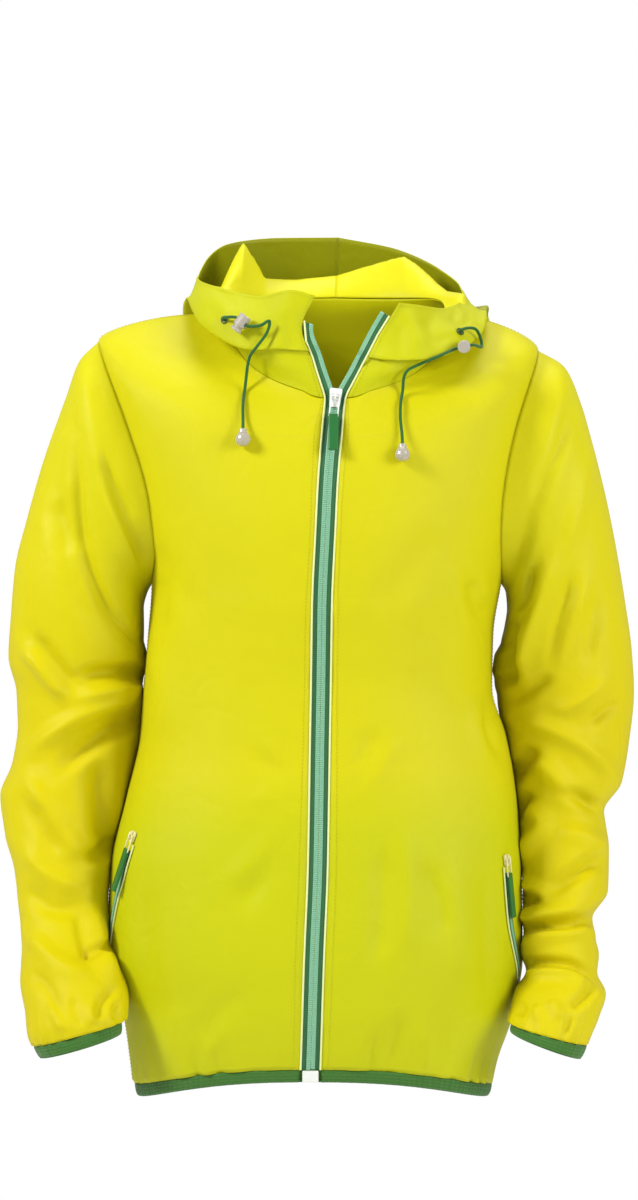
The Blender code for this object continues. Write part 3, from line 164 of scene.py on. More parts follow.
# Pocket zips on the front panels: where they run, from the slider down.
POCKET_LEFT = (
    # angle h
    (60.6, 0.3260), (62.0, 0.3000), (65.0, 0.2720), (69.0, 0.2450), (73.5, 0.2050), (78.0, 0.1600),
)
POCKET_RIGHT = (
    # angle h
    (61.5, 0.2990), (62.3, 0.2750), (63.2, 0.2480), (64.6, 0.2170), (69.0, 0.1820), (75.0, 0.1500),
)

# Drawcords. A row is a point of the hood or the body moved out by lift; the barrel's row is where
# the cord lock sits. The free end hangs down the front panel.
CORD_LEFT = (
    # piece a b lift
    ("hood", 55.0, 0.617, 0.6), ("hood", 55.0, 0.617, 4.2), ("barrel", 44.0, 0.610, 9.0),
    ("hood", 32.0, 0.600, 8.0), ("hood", 27.5, 0.660, 6.0), ("hood", 28.0, 0.560, 4.2),
    ("hood", 33.0, 0.420, 4.2), ("hood", 38.5, 0.300, 7.5),
    ("drop", 245.0, 388.0, 3.0), ("drop", 243.0, 404.0, 2.6),
    ("drop", 243.0, 419.0, 3.6), ("drop", 243.0, 429.0, 6.4),
)
CORD_RIGHT = (
    # piece a b lift
    ("hood", 50.0, 0.617, 0.6), ("hood", 50.0, 0.617, 4.2), ("hood", 57.0, 0.570, 7.0),
    ("hood", 58.5, 0.500, 8.0), ("barrel", 46.0, 0.470, 9.0),
    ("hood", 34.5, 0.430, 6.0), ("hood", 28.0, 0.330, 4.6), ("hood", 24.0, 0.230, 6.0),
    ("drop", 402.5, 392.0, 4.4), ("drop", 400.5, 406.0, 3.0), ("drop", 400.5, 420.0, 2.6),
    ("drop", 402.0, 434.0, 3.6), ("drop", 402.5, 444.0, 6.4),
)


# ------------------------------------------------------------------ interpolation
def pchip(x, y, q):
    """Smooth monotone curve through the rows y at x, read at q. y may hold any number of columns."""
    x, y, q = np.asarray(x, float), np.asarray(y, float), np.asarray(q, float)
    h = np.diff(x)
    hs = h.reshape((-1,) + (1,) * (y.ndim - 1))
    d = np.diff(y, axis=0) / hs
    m = np.zeros_like(y)
    w1, w2 = 2 * hs[1:] + hs[:-1], hs[1:] + 2 * hs[:-1]
    same = d[1:] * d[:-1] > 0
    safe0, safe1 = np.where(same, d[:-1], 1.0), np.where(same, d[1:], 1.0)
    m[1:-1] = np.where(same, (w1 + w2) / (w1 / safe0 + w2 / safe1), 0.0)
    m[0], m[-1] = d[0], d[-1]
    q = np.clip(q, x[0], x[-1])
    k = np.clip(np.searchsorted(x, q, side="right") - 1, 0, len(x) - 2)
    t = ((q - x[k]) / h[k]).reshape(q.shape + (1,) * (y.ndim - 1))
    hk = h[k].reshape(q.shape + (1,) * (y.ndim - 1))
    return ((1 + 2 * t) * (1 - t) ** 2 * y[k] + t * (1 - t) ** 2 * hk * m[k]
            + t * t * (3 - 2 * t) * y[k + 1] + t * t * (t - 1) * hk * m[k + 1])


def rounded(ctrl, n):
    """n points, evenly spaced by length, on a centripetal Catmull-Rom curve through ctrl."""
    c = np.asarray(ctrl, float)
    c = np.vstack([2 * c[0] - c[1], c, 2 * c[-1] - c[-2]])
    out = []
    for a, b, d, e in zip(c[:-3], c[1:-2], c[2:-1], c[3:]):
        t0 = 0.0
        t1 = t0 + max(np.linalg.norm(b - a), 1e-6) ** 0.5
        t2 = t1 + max(np.linalg.norm(d - b), 1e-6) ** 0.5
        t3 = t2 + max(np.linalg.norm(e - d), 1e-6) ** 0.5
        for t in np.linspace(t1, t2, 25)[:-1]:
            a1 = (t1 - t) / (t1 - t0) * a + (t - t0) / (t1 - t0) * b
            a2 = (t2 - t) / (t2 - t1) * b + (t - t1) / (t2 - t1) * d
            a3 = (t3 - t) / (t3 - t2) * d + (t - t2) / (t3 - t2) * e
            b1 = (t2 - t) / (t2 - t0) * a1 + (t - t0) / (t2 - t0) * a2
            b2 = (t3 - t) / (t3 - t1) * a2 + (t - t1) / (t3 - t1) * a3
            out.append((t2 - t) / (t2 - t1) * b1 + (t - t1) / (t2 - t1) * b2)
    out.append(c[-2])
    out = np.array(out)
    s = np.concatenate([[0], np.cumsum(np.linalg.norm(np.diff(out, axis=0), axis=1))])
    want = np.linspace(0, s[-1], n)
    return np.stack([np.interp(want, s, out[:, k]) for k in range(3)], axis=1)


# ------------------------------------------------------------------ the garment's surfaces
BODY_A = np.array(BODY)


def body(theta, h):
    """Point on the body's outside. theta runs from the zip (0) over the right side (90) to the
    centre back (180) and the left side (270); h from the hem (0) to the neckline (1)."""
    theta, h = np.broadcast_arrays(np.asarray(theta, float), np.asarray(h, float))
    r = pchip(BODY_A[:, 0], BODY_A[:, 1:], h)
    zf, zl, zr, zb, xl, xr, xz, yf, ys, yb, sq, sad = np.moveaxis(r, -1, 0)
    th = np.radians(theta)
    s, c = np.sin(th), np.cos(th)
    front = c >= 0
    mid = np.where(front, xz, 0.5 * (xl + xr))
    side = np.where(s >= 0, xr, xl)
    zs = 0.5 * (zl + zr) + 0.5 * (zr - zl) * s
    x = mid + (side - mid) * np.abs(s) ** sq
    y = ys + (np.where(front, yf, yb) - ys) * np.abs(c) ** sq
    z = zs + (np.where(front, zf, zb) - zs) * np.abs(c) ** sad
    return np.stack([x, y, z], axis=-1) * MM


def zip_angle(side, h, off):
    """Angle at which the body lies off mm from the zip's centre line."""
    r = pchip(BODY_A[:, 0], BODY_A[:, 1:], np.asarray(h, float))
    half = np.abs(np.where(side > 0, r[..., 5], r[..., 4]) - r[..., 6])
    return np.degrees(np.arcsin((off / half) ** (1 / r[..., 10])))


def arm_reach(h, reach):
    """Degrees that the armhole takes from a panel's outer edge at height h."""
    mid, half = 0.5 * (ARM_LOW + ARM_HIGH), 0.5 * (ARM_HIGH - ARM_LOW)
    return reach * np.sqrt(np.clip(1 - ((np.asarray(h) - mid) / half) ** 2, 0, 1))


def panel_rows(n_low, n_arm, n_top, low, high):
    """Heights of a panel's rows, closer at the two ends of the armhole."""
    mid, half = 0.5 * (ARM_LOW + ARM_HIGH), 0.5 * (ARM_HIGH - ARM_LOW)
    arm = mid - half * np.cos(np.linspace(0, math.pi, n_arm))
    return np.concatenate([np.linspace(low, ARM_LOW, n_low, endpoint=False), arm,
                           np.linspace(ARM_HIGH, high, n_top + 1)[1:]])


def front_grid(side, n_u, rows):
    """Outside of a front panel, from the zip edge to the side seam, armhole and shoulder seam."""
    gap = 0.0
    extra = 0.9 * np.clip((rows - 0.93) / 0.05, 0, 1)      # room for the zip's bend at the neckline
    inner = zip_angle(side, rows, ZIP_HALF + PIPE_R * 2 + 0.4 + extra)
    outer = 90.0 - arm_reach(rows, ARM_FRONT) - np.degrees(gap / 150.0) - 0.10
    u = np.linspace(0, 1, n_u)
    theta = inner[:, None] + (outer - inner)[:, None] * u[None, :]
    return body(side * theta, rows[:, None] + 0 * theta)


def back_grid(n_u, rows):
    """Outside of the back panel, from the right side seam to the left one."""
    gap = SEAM * 0.5
    edge = 90.0 + arm_reach(rows, ARM_BACK) + np.degrees(gap / 150.0) + 0.10
    u = np.linspace(0, 1, n_u)
    theta = edge[:, None] + (360.0 - 2 * edge)[:, None] * u[None, :]
    return body(theta, rows[:, None] + 0 * theta)


def sleeve_sections(side, psi):
    """The sleeve's sections at the angles psi: 0 under the arm, 90 front, 180 over the shoulder."""
    psi = np.asarray(psi, float)
    p = np.radians(psi)
    mid, half = 0.5 * (ARM_LOW + ARM_HIGH), 0.5 * (ARM_HIGH - ARM_LOW)
    shrink = 0.975                                    # the seam gap, inside the armhole
    h = mid - half * shrink * np.cos(p)
    reach = np.where(np.sin(p) >= 0, ARM_FRONT, ARM_BACK)
    hole = body(side * (90.0 - reach * shrink * np.sin(p)), h)
    rings = [hole]
    for xo, zo, xi, zi, ym, hy in (SLEEVE_LEFT if side < 0 else SLEEVE_RIGHT):
        o, i = np.array([xo, ym, zo]), np.array([xi, ym, zi])
        c, e = 0.5 * (o + i), 0.5 * (i - o)
        co, si = np.cos(p), np.sin(p)
        co = np.sign(co) * np.abs(co) ** 0.93
        si = np.sign(si) * np.abs(si) ** 0.93
        rings.append((c + co[:, None] * e - si[:, None] * np.array([0, hy, 0])) * MM)
    rings = np.array(rings)
    mids = rings.mean(axis=1)
    s = np.concatenate([[0], np.cumsum(np.linalg.norm(np.diff(mids, axis=0), axis=1))])
    return s / s[-1], rings


def sleeve_grid(side, psi, t):
    """Outside of a sleeve at angles psi and at t from the armhole (0) to the cuff's end (1)."""
    s, rings = sleeve_sections(side, psi)
    return pchip(s, rings, np.asarray(t, float))


def hood_grid(side, angles, n_v, v0=0.0, v1=1.0):
    """The hood's outside, at angles round the neck and n_v points from the seam to the rim."""
    tab = np.array(HOOD_LEFT if side < 0 else HOOD_RIGHT)
    row = pchip(tab[:, 0], tab[:, 1:], np.asarray(angles, float))
    cols = []
    for a, r in zip(angles, row):
        start = float(zip_angle(side, np.array(1.0), ZIP_HALF + PIPE_R * 2 + 0.4))
        th = start + (180.0 - start) * a / 180.0
        seam = body(side * th, 1.0) / MM
        rim, wall = r[0:3], r[3:6]
        out = np.array([seam[0] - NECK_X, seam[1] - NECK_Y, 0.0])
        out /= np.linalg.norm(out)
        up = np.array([0, 0, 1.0])
        ridge = seam + (wall - seam) / 3 + out * r[9] + up * r[10]
        pouch = seam + (wall - seam) * 2 / 3 + out * r[6] + up * r[7]
        line = rounded([seam + up * SEAM, ridge, pouch - out * r[8], pouch + out * r[8], wall, rim], 181)
        idx = np.linspace(v0 * 180, v1 * 180, n_v)
        cols.append(np.stack([np.interp(idx, np.arange(181), line[:, k]) for k in range(3)], axis=1))
    return np.array(cols).transpose(1, 0, 2) * MM


def body_skin():
    """The whole outside of the body, armholes closed, to rest other pieces on."""
    th, hh = np.arange(0, 360, 5.0), np.linspace(0.0, 1.0, 70)
    g = body(th[None, :] + 0 * hh[:, None], hh[:, None] + 0 * th[None, :])
    n = len(th)
    faces = [(j * n + i, j * n + (i + 1) % n, (j + 1) * n + (i + 1) % n, (j + 1) * n + i)
             for j in range(len(hh) - 1) for i in range(n)]
    return BVHTree.FromPolygons([Vector(p) for p in g.reshape(-1, 3)], faces)


SKIN = body_skin()


def lying_hood(side, angles, n_v):
    """The hood's outside, resting on the body; at the zip edge it stays close to the body's line."""
    angles = np.asarray(angles, float)
    gap = HOOD_GAP * np.clip(0.25 + angles / 30.0, 0.25, 1.0)
    return rest_on_body(hood_grid(side, angles, n_v), gap, 0.0, 0.10)



def rest_on_body(grid, gap, first=0.0, full=0.0):
    """Push a grid's points out of the body until they clear it by gap mm, one value or one for
    each column. The rows' share of that runs from nothing at row share first to all at full."""
    out = grid.copy()
    gap = np.broadcast_to(gap, (grid.shape[1],))
    rows = np.linspace(0, 1, len(grid))
    for j, v in enumerate(rows):
        w = 1.0 if full <= first else min(1.0, max(0.0, (v - first) / (full - first)))
        for i in range(grid.shape[1]):
            p = Vector(out[j, i])
            for _ in range(3):
                near, normal, _, _ = SKIN.find_nearest(p)
                d = (p - near).dot(normal)
                if d < gap[i] * MM * w and (p - near).length < 0.06:
                    p += normal * (gap[i] * MM * w - d)
            out[j, i] = p
    return out


HEM_H = HEM_BAND / 573.0


def frame_along(pts, normals):
    """Tangent, sideways and outward directions along a line that lies on a surface."""
    t = np.gradient(pts, axis=0)
    t /= np.linalg.norm(t, axis=1)[:, None]
    n = normals - (normals * t).sum(1)[:, None] * t
    n /= np.linalg.norm(n, axis=1)[:, None]
    return t, np.cross(t, n), n


def zip_line(side, n):
    """The front edge of one side from the hem up the panel and the hood, with its directions:
    along, sideways away from the opening, and outward."""
    hs = np.linspace(0.0175, 0.992, 60)
    ang = zip_angle(side, hs, ZIP_HALF + PIPE_R * 2 + 0.4)
    low, low_in = body(side * ang, hs), body(side * (ang + 4.0), hs)
    g = lying_hood(side, [0.0, 7.0], 101)
    top = int(round(100 * ZIP_TOP[side]))
    edge = np.vstack([low, g[2:top, 0]])
    lat = np.vstack([low_in - low, g[2:top, 1] - g[2:top, 0]])
    s = np.concatenate([[0], np.cumsum(np.linalg.norm(np.diff(edge, axis=0), axis=1))])
    # stations close together round the slider
    dense = 1 + 4 * np.exp(-((edge[:, 2] / MM + 88.0) / 16.0) ** 2)
    w = np.concatenate([[0], np.cumsum(np.diff(s) * 0.5 * (dense[1:] + dense[:-1]))])
    want = np.interp(np.linspace(0, w[-1], n), w, s)
    edge = np.stack([np.interp(want, s, edge[:, k]) for k in range(3)], 1)
    lat = np.stack([np.interp(want, s, lat[:, k]) for k in range(3)], 1)
    normal = side * np.cross(lat, np.gradient(edge, axis=0))
    normal *= np.where(normal[:, 1:2] > 0, -1, 1)
    for _ in range(2):
        normal[1:-1] = normal[:-2] + 2 * normal[1:-1] + normal[2:]
    t, c, nn = frame_along(edge, normal)
    return edge, t, c * side, nn


EDGE_S = ZIP_HALF + PIPE_R * 2 + 0.4


VIEW_D, VIEW_X, VIEW_Z, VIEW_S = 3.2, -0.0095, -0.258, 0.00086


def grid_tree(grids):
    """Search tree over the quads of several grids."""
    pts, faces = [], []
    for g in grids:
        n0, (nv, nu) = len(pts), g.shape[:2]
        pts += [Vector(q) for q in g.reshape(-1, 3)]
        faces += [(n0 + j * nu + i, n0 + j * nu + i + 1, n0 + (j + 1) * nu + i + 1, n0 + (j + 1) * nu + i)
                  for j in range(nv - 1) for i in range(nu - 1)]
    return BVHTree.FromPolygons(pts, faces)


HOOD_ANGLES = np.linspace(0, 90, 31)
CLOTH_SKIN = grid_tree([lying_hood(s_, HOOD_ANGLES, 61) for s_ in (-1.0, 1.0)]
                       + [front_grid(s_, 25, panel_rows(12, 11, 3, HEM_H + 0.0012, 0.9955)) for s_ in (-1.0, 1.0)])


def hood_point(side, a, v, lift):
    """A point of the hood at angle a and share v of its profile, moved out by lift mm."""
    g = lying_hood(side, [a - 1.5, a, a + 1.5], 101)
    k = int(round(v * 100))
    n = np.cross(g[k, 2] - g[k, 0], g[min(k + 2, 100), 1] - g[max(k - 2, 0), 1]) * side
    n /= np.linalg.norm(n)
    return g[k, 1] + n * lift * MM, n


def drop_point(px, py, lift):
    """A point in front of the cloth, lift mm clear of it, given by its place in the front view:
    VIEW_S metres to the unit, from 319 across and 600 down."""
    y = -0.10
    for _ in range(4):
        k = (VIEW_D + y) / VIEW_D
        x = VIEW_X + (px - 319.0) * VIEW_S * k
        z = VIEW_Z + (600.0 - py) * VIEW_S * k
        hit = CLOTH_SKIN.ray_cast(Vector((x, -0.4, z)), Vector((0, 1, 0)))
        y = hit[0].y - (lift + CORD_D / 2) * MM
    return np.array([x, y, z])


# ------------------------------------------------------------------ folds
# A fold is a line of points in the front view (VIEW_S metres to the unit, 319 and 600 being the
# middle), with its width to either side, its height in mm (a trough is negative) and how crisp its
# crest is (0 soft, 1 sharp). "left" is on the left hand going along the line as seen in the view.
SLEEVE_LEFT_FOLDS = (
    # points, width_left, width_right, height, crisp
    (((76, 432), (77, 500), (84, 549), (100, 592), (118, 622), (141, 653)), 7, 24, -6.5, 0.5),
    (((68, 440), (68, 505), (75, 556), (92, 604), (112, 640)), 13, 8, 3.5, 0.3),
    (((102, 452), (116, 486), (130, 505), (141, 522)), 5, 13, -4.0, 0.5),
    (((90, 428), (108, 500), (126, 545), (146, 582)), 9, 9, 3.2, 0.4),
    (((96, 352), (100, 380), (104, 412)), 8, 8, -2.0, 0.2),
    (((46, 500), (60, 520), (76, 556)), 22, 14, -2.8, 0.2),
    (((20, 641), (45, 672), (70, 704)), 10, 8, 4.5, 0.8),
    (((30, 630), (56, 664), (78, 696)), 8, 9, -3.6, 0.4),
    (((70, 704), (100, 691), (147, 683)), 8, 8, 4.2, 0.7),
    (((74, 678), (108, 673), (145, 670)), 9, 11, -5.0, 0.4),
    (((25, 762), (45, 741), (70, 722), (100, 706), (143, 692)), 9, 9, 4.0, 0.7),
    (((54, 778), (80, 752), (110, 729), (142, 711)), 14, 8, -6.0, 0.5),
    (((20, 772), (42, 802), (80, 868)), 9, 9, 3.4, 0.8),
    (((30, 800), (46, 828), (60, 858)), 10, 10, -2.6, 0.3),
    (((92, 756), (96, 800), (101, 838), (114, 850)), 9, 14, -5.5, 0.4),
    (((118, 838), (96, 850), (74, 860)), 7, 7, -3.6, 0.6),
    (((22, 842), (40, 868), (78, 892)), 9, 9, 2.6, 0.5),
    (((24, 884), (46, 905), (79, 908)), 12, 10, -3.0, 0.4),
    (((24, 930), (52, 958), (84, 985)), 9, 9, 3.0, 0.7),
    (((79, 898), (84, 930), (93, 960), (112, 986)), 9, 9, 3.6, 0.7),
    (((72, 905), (78, 944), (84, 966)), 8, 6, -3.4, 0.4),
    (((100, 946), (88, 949), (76, 955)), 6, 6, -3.6, 0.6),
    (((28, 968), (50, 990), (58, 1016)), 8, 9, -2.6, 0.4),
    (((106, 985), (96, 1004), (93, 1024)), 6, 6, -2.4, 0.5),
    (((48, 1000), (56, 1018), (66, 1034)), 5, 5, 2.0, 0.6),
    (((70, 996), (75, 1014), (80, 1030)), 4, 4, -2.0, 0.6),
    (((86, 1000), (87, 1014), (90, 1027)), 4, 4, 1.8, 0.6),
    (((108, 1000), (108, 1012), (110, 1023)), 4, 4, -1.8, 0.6),
)
SLEEVE_RIGHT_FOLDS = (
    # points, width_left, width_right, height, crisp
    (((572, 400), (560, 448), (544, 480), (528, 510)), 8, 8, -2.2, 0.3),
    (((590, 440), (580, 500), (566, 556)), 10, 10, 2.0, 0.3),
    (((534, 566), (525, 590), (516, 612)), 7, 8, -4.2, 0.5),
    (((556, 545), (541, 600), (529, 645), (520, 695)), 8, 10, 4.0, 0.5),
    (((574, 565), (562, 620), (552, 668)), 8, 8, -3.2, 0.4),
    (((588, 575), (572, 625), (558, 672)), 7, 8, 3.0, 0.5),
    (((598, 590), (592, 640), (588, 672)), 8, 8, -2.0, 0.3),
    (((504, 612), (511, 650), (512, 694)), 10, 18, -7.0, 0.4),
    (((612, 676), (580, 700), (548, 716)), 9, 9, 3.2, 0.6),
    (((508, 705), (530, 690), (556, 676)), 8, 8, -3.8, 0.5),
    (((620, 700), (600, 716), (588, 728)), 6, 7, -3.2, 0.5),
    (((512, 716), (548, 726), (590, 752), (620, 786)), 9, 9, 3.4, 0.6),
    (((514, 782), (530, 762), (541, 744)), 7, 11, -5.2, 0.5),
    (((541, 752), (560, 778), (575, 806)), 9, 9, 4.0, 0.7),
    (((519, 822), (530, 804), (540, 790)), 7, 7, -4.2, 0.6),
    (((534, 800), (549, 824), (536, 846), (521, 866)), 8, 8, 3.8, 0.6),
    (((602, 812), (582, 800), (560, 790)), 7, 8, -4.6, 0.6),
    (((560, 830), (586, 838), (608, 850)), 10, 10, 3.0, 0.5),
    (((550, 896), (582, 870), (609, 858)), 10, 8, -4.6, 0.5),
    (((521, 874), (540, 886), (556, 900)), 8, 8, 3.4, 0.6),
    (((521, 909), (536, 899), (552, 894)), 6, 6, -4.0, 0.7),
    (((592, 920), (570, 926), (548, 926), (530, 932)), 6, 7, -5.0, 0.6),
    (((524, 921), (552, 914), (588, 904)), 8, 7, 3.4, 0.6),
    (((524, 951), (550, 937), (580, 930), (600, 940)), 8, 8, 3.6, 0.6),
    (((526, 963), (556, 961), (579, 967), (598, 985)), 5, 8, -4.6, 0.6),
    (((518, 982), (550, 972), (578, 976), (600, 990)), 7, 8, 3.2, 0.6),
    (((570, 1010), (586, 996), (594, 982)), 8, 6, -3.8, 0.5),
    (((552, 1000), (558, 1010), (560, 1022)), 5, 5, 2.4, 0.6),
    (((530, 1000), (526, 1010), (524, 1018)), 5, 5, -1.8, 0.5),
    (((544, 1004), (541, 1014), (541, 1024)), 4, 4, 1.8, 0.5),
    (((572, 1016), (568, 1028), (566, 1036)), 4, 4, -1.8, 0.5),
)
FRONT_FOLDS = (
    # points, width_left, width_right, height, crisp
    (((150, 572), (158, 600), (160, 640)), 12, 12, -3.0, 0.2),
    (((146, 540), (170, 575), (200, 620)), 14, 16, -1.8, 0.1),
    (((148, 640), (162, 690), (160, 740)), 14, 12, 2.0, 0.2),
    (((234, 910), (262, 884), (296, 852)), 14, 12, -2.4, 0.3),
    (((222, 890), (256, 860), (296, 826)), 12, 12, 1.6, 0.3),
    (((244, 750), (272, 768), (300, 790)), 9, 9, -1.6, 0.3),
    (((262, 735), (284, 762), (302, 782)), 8, 8, 1.4, 0.3),
    (((250, 800), (276, 797), (302, 796)), 9, 9, 1.2, 0.3),
    (((198, 1044), (222, 1012), (246, 990)), 12, 12, -1.8, 0.2),
    (((178, 1000), (172, 1040), (176, 1066)), 10, 10, 1.8, 0.2),
    (((150, 880), (146, 930), (148, 1000)), 12, 12, -2.4, 0.2),
    (((206, 1060), (218, 1036), (222, 1020)), 7, 7, 1.6, 0.3),
    (((474, 576), (476, 602), (492, 620)), 7, 8, -3.4, 0.5),
    (((450, 560), (458, 600), (470, 650)), 10, 10, 1.8, 0.3),
    (((490, 700), (488, 728), (502, 758)), 5, 6, -2.4, 0.5),
    (((478, 690), (478, 730), (490, 770)), 8, 8, 1.6, 0.3),
    (((332, 796), (356, 764), (384, 728)), 12, 10, -1.8, 0.3),
    (((350, 800), (372, 780), (400, 736)), 10, 10, 1.4, 0.3),
    (((382, 838), (384, 900), (374, 975)), 12, 14, -3.0, 0.2),
    (((404, 820), (408, 890), (404, 970)), 12, 12, 2.0, 0.2),
    (((420, 858), (438, 896), (444, 940)), 8, 10, -2.0, 0.4),
    (((456, 850), (460, 920), (462, 1000)), 14, 14, 1.8, 0.2),
    (((484, 860), (488, 930), (486, 1010)), 10, 10, -2.0, 0.2),
    (((388, 1070), (396, 1034), (404, 1014)), 8, 8, -1.8, 0.4),
    (((372, 1074), (372, 1050), (380, 1032)), 5, 5, -1.4, 0.5),
    (((428, 1078), (426, 1050), (422, 1020)), 8, 8, 1.8, 0.3),
    (((344, 900), (350, 950), (344, 1010)), 9, 9, -1.4, 0.2),
    (((436, 520), (410, 570), (370, 620)), 18, 18, -1.4, 0.1),
)
HOOD_FOLDS = (
    # points, width_left, width_right, height, crisp
    (((250, 246), (234, 266), (226, 290)), 6, 6, 2.4, 0.6),
    (((244, 250), (256, 270), (262, 292)), 6, 6, -2.4, 0.5),
    (((216, 262), (222, 278), (226, 300)), 7, 7, -2.0, 0.4),
    (((276, 318), (270, 334), (262, 354)), 5, 7, -2.6, 0.6),
    (((206, 300), (214, 314), (222, 328)), 7, 7, -1.8, 0.4),
    (((230, 300), (222, 316), (204, 326)), 7, 7, 1.6, 0.4),
    (((286, 306), (288, 330), (296, 356)), 7, 7, -1.6, 0.3),
    (((404, 306), (416, 330), (424, 352)), 8, 8, 2.0, 0.4),
    (((424, 312), (434, 334), (452, 344)), 7, 7, -2.2, 0.5),
    (((398, 320), (400, 350), (406, 378)), 7, 7, -2.0, 0.4),
    (((376, 348), (384, 366), (396, 386)), 7, 7, 1.6, 0.3),
    (((448, 312), (462, 322), (474, 318)), 6, 6, -2.0, 0.5),
    (((414, 268), (424, 282), (446, 292)), 6, 6, 2.2, 0.5),
    (((410, 284), (420, 298), (444, 300)), 6, 6, -2.2, 0.5),
    (((468, 300), (478, 312), (496, 326)), 6, 6, 1.8, 0.4),
)
# Folds of the back: the same, in the front view's places, seen through the jacket.
BACK_FOLDS = (
    # points, width_left, width_right, height, crisp
    (((150, 620), (230, 700), (330, 742)), 12, 16, -4.0, 0.3),
    (((500, 640), (430, 706), (330, 752)), 16, 12, -3.8, 0.3),
    (((148, 700), (220, 752), (300, 776)), 14, 12, 3.4, 0.4),
    (((492, 706), (420, 756), (340, 786)), 12, 14, 3.2, 0.4),
    (((160, 560), (210, 600), (250, 655)), 14, 14, -2.6, 0.2),
    (((486, 560), (440, 610), (404, 660)), 14, 14, -2.8, 0.2),
    (((200, 800), (214, 880), (206, 980)), 16, 12, -3.8, 0.3),
    (((262, 812), (270, 900), (262, 1010)), 14, 14, 3.0, 0.2),
    (((322, 800), (318, 890), (326, 1000)), 14, 14, -3.0, 0.3),
    (((384, 816), (392, 900), (386, 990)), 14, 16, 3.4, 0.3),
    (((440, 806), (432, 890), (442, 990)), 12, 14, -3.6, 0.3),
    (((160, 830), (164, 900), (158, 980)), 12, 12, 2.6, 0.3),
    (((484, 830), (480, 920), (486, 1000)), 12, 12, 2.6, 0.3),
    (((200, 420), (250, 470), (300, 500)), 18, 18, -1.8, 0.1),
    (((450, 430), (400, 478), (350, 500)), 18, 18, -1.8, 0.1),
    (((236, 1040), (242, 1064), (240, 1084)), 7, 7, 2.0, 0.4),
    (((350, 1036), (346, 1060), (350, 1082)), 7, 7, -2.0, 0.4),
    (((420, 1040), (426, 1062), (424, 1084)), 7, 7, 2.0, 0.4),
)
SLEEVE_BACK_FOLDS = (
    # points, width_left, width_right, height, crisp
    (((60, 470), (90, 540), (132, 600)), 10, 16, -4.5, 0.4),
    (((40, 560), (76, 610), (130, 660)), 12, 9, 3.8, 0.5),
    (((28, 630), (80, 668), (144, 664)), 9, 12, -5.0, 0.5),
    (((26, 668), (84, 700), (146, 700)), 9, 9, 4.2, 0.6),
    (((24, 716), (80, 728), (140, 722)), 10, 8, -4.6, 0.5),
    (((22, 770), (70, 800), (116, 792)), 9, 9, 3.6, 0.6),
    (((24, 820), (66, 838), (112, 834)), 9, 9, -4.2, 0.5),
    (((28, 884), (64, 868), (106, 880)), 9, 9, 3.4, 0.6),
    (((26, 926), (66, 940), (108, 930)), 9, 9, -3.8, 0.5),
    (((40, 976), (74, 966), (118, 976)), 8, 8, 2.8, 0.5),
    (((600, 470), (560, 540), (514, 600)), 16, 10, -4.5, 0.4),
    (((606, 560), (566, 612), (508, 660)), 9, 12, 3.8, 0.5),
    (((616, 640), (570, 668), (506, 672)), 12, 9, -5.0, 0.5),
    (((618, 690), (566, 706), (506, 708)), 9, 9, 4.2, 0.6),
    (((616, 730), (570, 742), (514, 738)), 8, 10, -4.6, 0.5),
    (((612, 786), (566, 800), (522, 790)), 9, 9, 3.6, 0.6),
    (((602, 815), (566, 826), (524, 830)), 9, 9, -4.4, 0.6),
    (((608, 862), (570, 872), (524, 868)), 9, 9, 3.4, 0.6),
    (((594, 918), (560, 908), (526, 912)), 8, 8, -4.2, 0.6),
    (((596, 950), (560, 946), (524, 950)), 8, 8, 3.0, 0.5),
    (((598, 984), (562, 978), (520, 976)), 8, 8, -3.2, 0.5),
)


def in_view(p):
    """Where points lie in the front view."""
    k = (VIEW_D + p[..., 1]) / VIEW_D
    return np.stack([319.0 + (p[..., 0] - VIEW_X) / (VIEW_S * k), 600.0 - (p[..., 2] - VIEW_Z) / (VIEW_S * k)], -1)


def fold_height(q, folds, gain=1.0, narrow=1.0):
    """Height in mm that the folds add at view points q."""
    h = np.zeros(q.shape[:-1])
    for pts, wl, wr, height, crisp in folds:
        pts = np.array(pts, float)
        if len(pts) > 2:
            pts = rounded(np.hstack([pts, np.zeros((len(pts), 1))]), 3 * len(pts))[:, :2]
        seg = np.linalg.norm(np.diff(pts, axis=0), axis=1)
        total, run = seg.sum(), 0.0
        best = np.full(q.shape[:-1], 1e9)
        where = np.zeros(q.shape[:-1])
        sign = np.ones(q.shape[:-1])
        for a, b, length in zip(pts[:-1], pts[1:], seg):
            d = (b - a) / length
            r = q - a
            t = r @ d
            tc = np.clip(t, 0, length)
            off = r - tc[..., None] * d
            dist = np.linalg.norm(off, axis=-1)
            side = r[..., 0] * d[1] - r[..., 1] * d[0]
            near = dist < best
            best = np.where(near, dist, best)
            where = np.where(near, run + tc, where)
            sign = np.where(near, side, sign)
            run += length
        w = np.where(sign >= 0, wl, wr) * narrow
        u = best / w
        soft = np.exp(-u * u * 1.1)
        sharp = np.clip(1 - u * 0.62, 0, 1)
        s = where / total
        fade = np.clip(np.minimum(s, 1 - s) / 0.28, 0, 1)
        fade = 0.15 + 0.85 * fade * fade * (3 - 2 * fade)
        h += gain * height * (crisp * sharp + (1 - crisp) * soft) * fade
    return h


def grid_normals(g, closed):
    """Outward normals of a grid, right for a grid whose columns run anticlockwise seen from above."""
    if closed:
        du = np.roll(g, -1, axis=1) - np.roll(g, 1, axis=1)
    else:
        du = np.gradient(g, axis=1)
    dv = np.gradient(g, axis=0)
    n = np.cross(du, dv)
    return n / np.maximum(np.linalg.norm(n, axis=-1, keepdims=True), 1e-12)


def smooth_share(x, a, b):
    t = np.clip((x - a) / (b - a), 0, 1)
    return t * t * (3 - 2 * t)


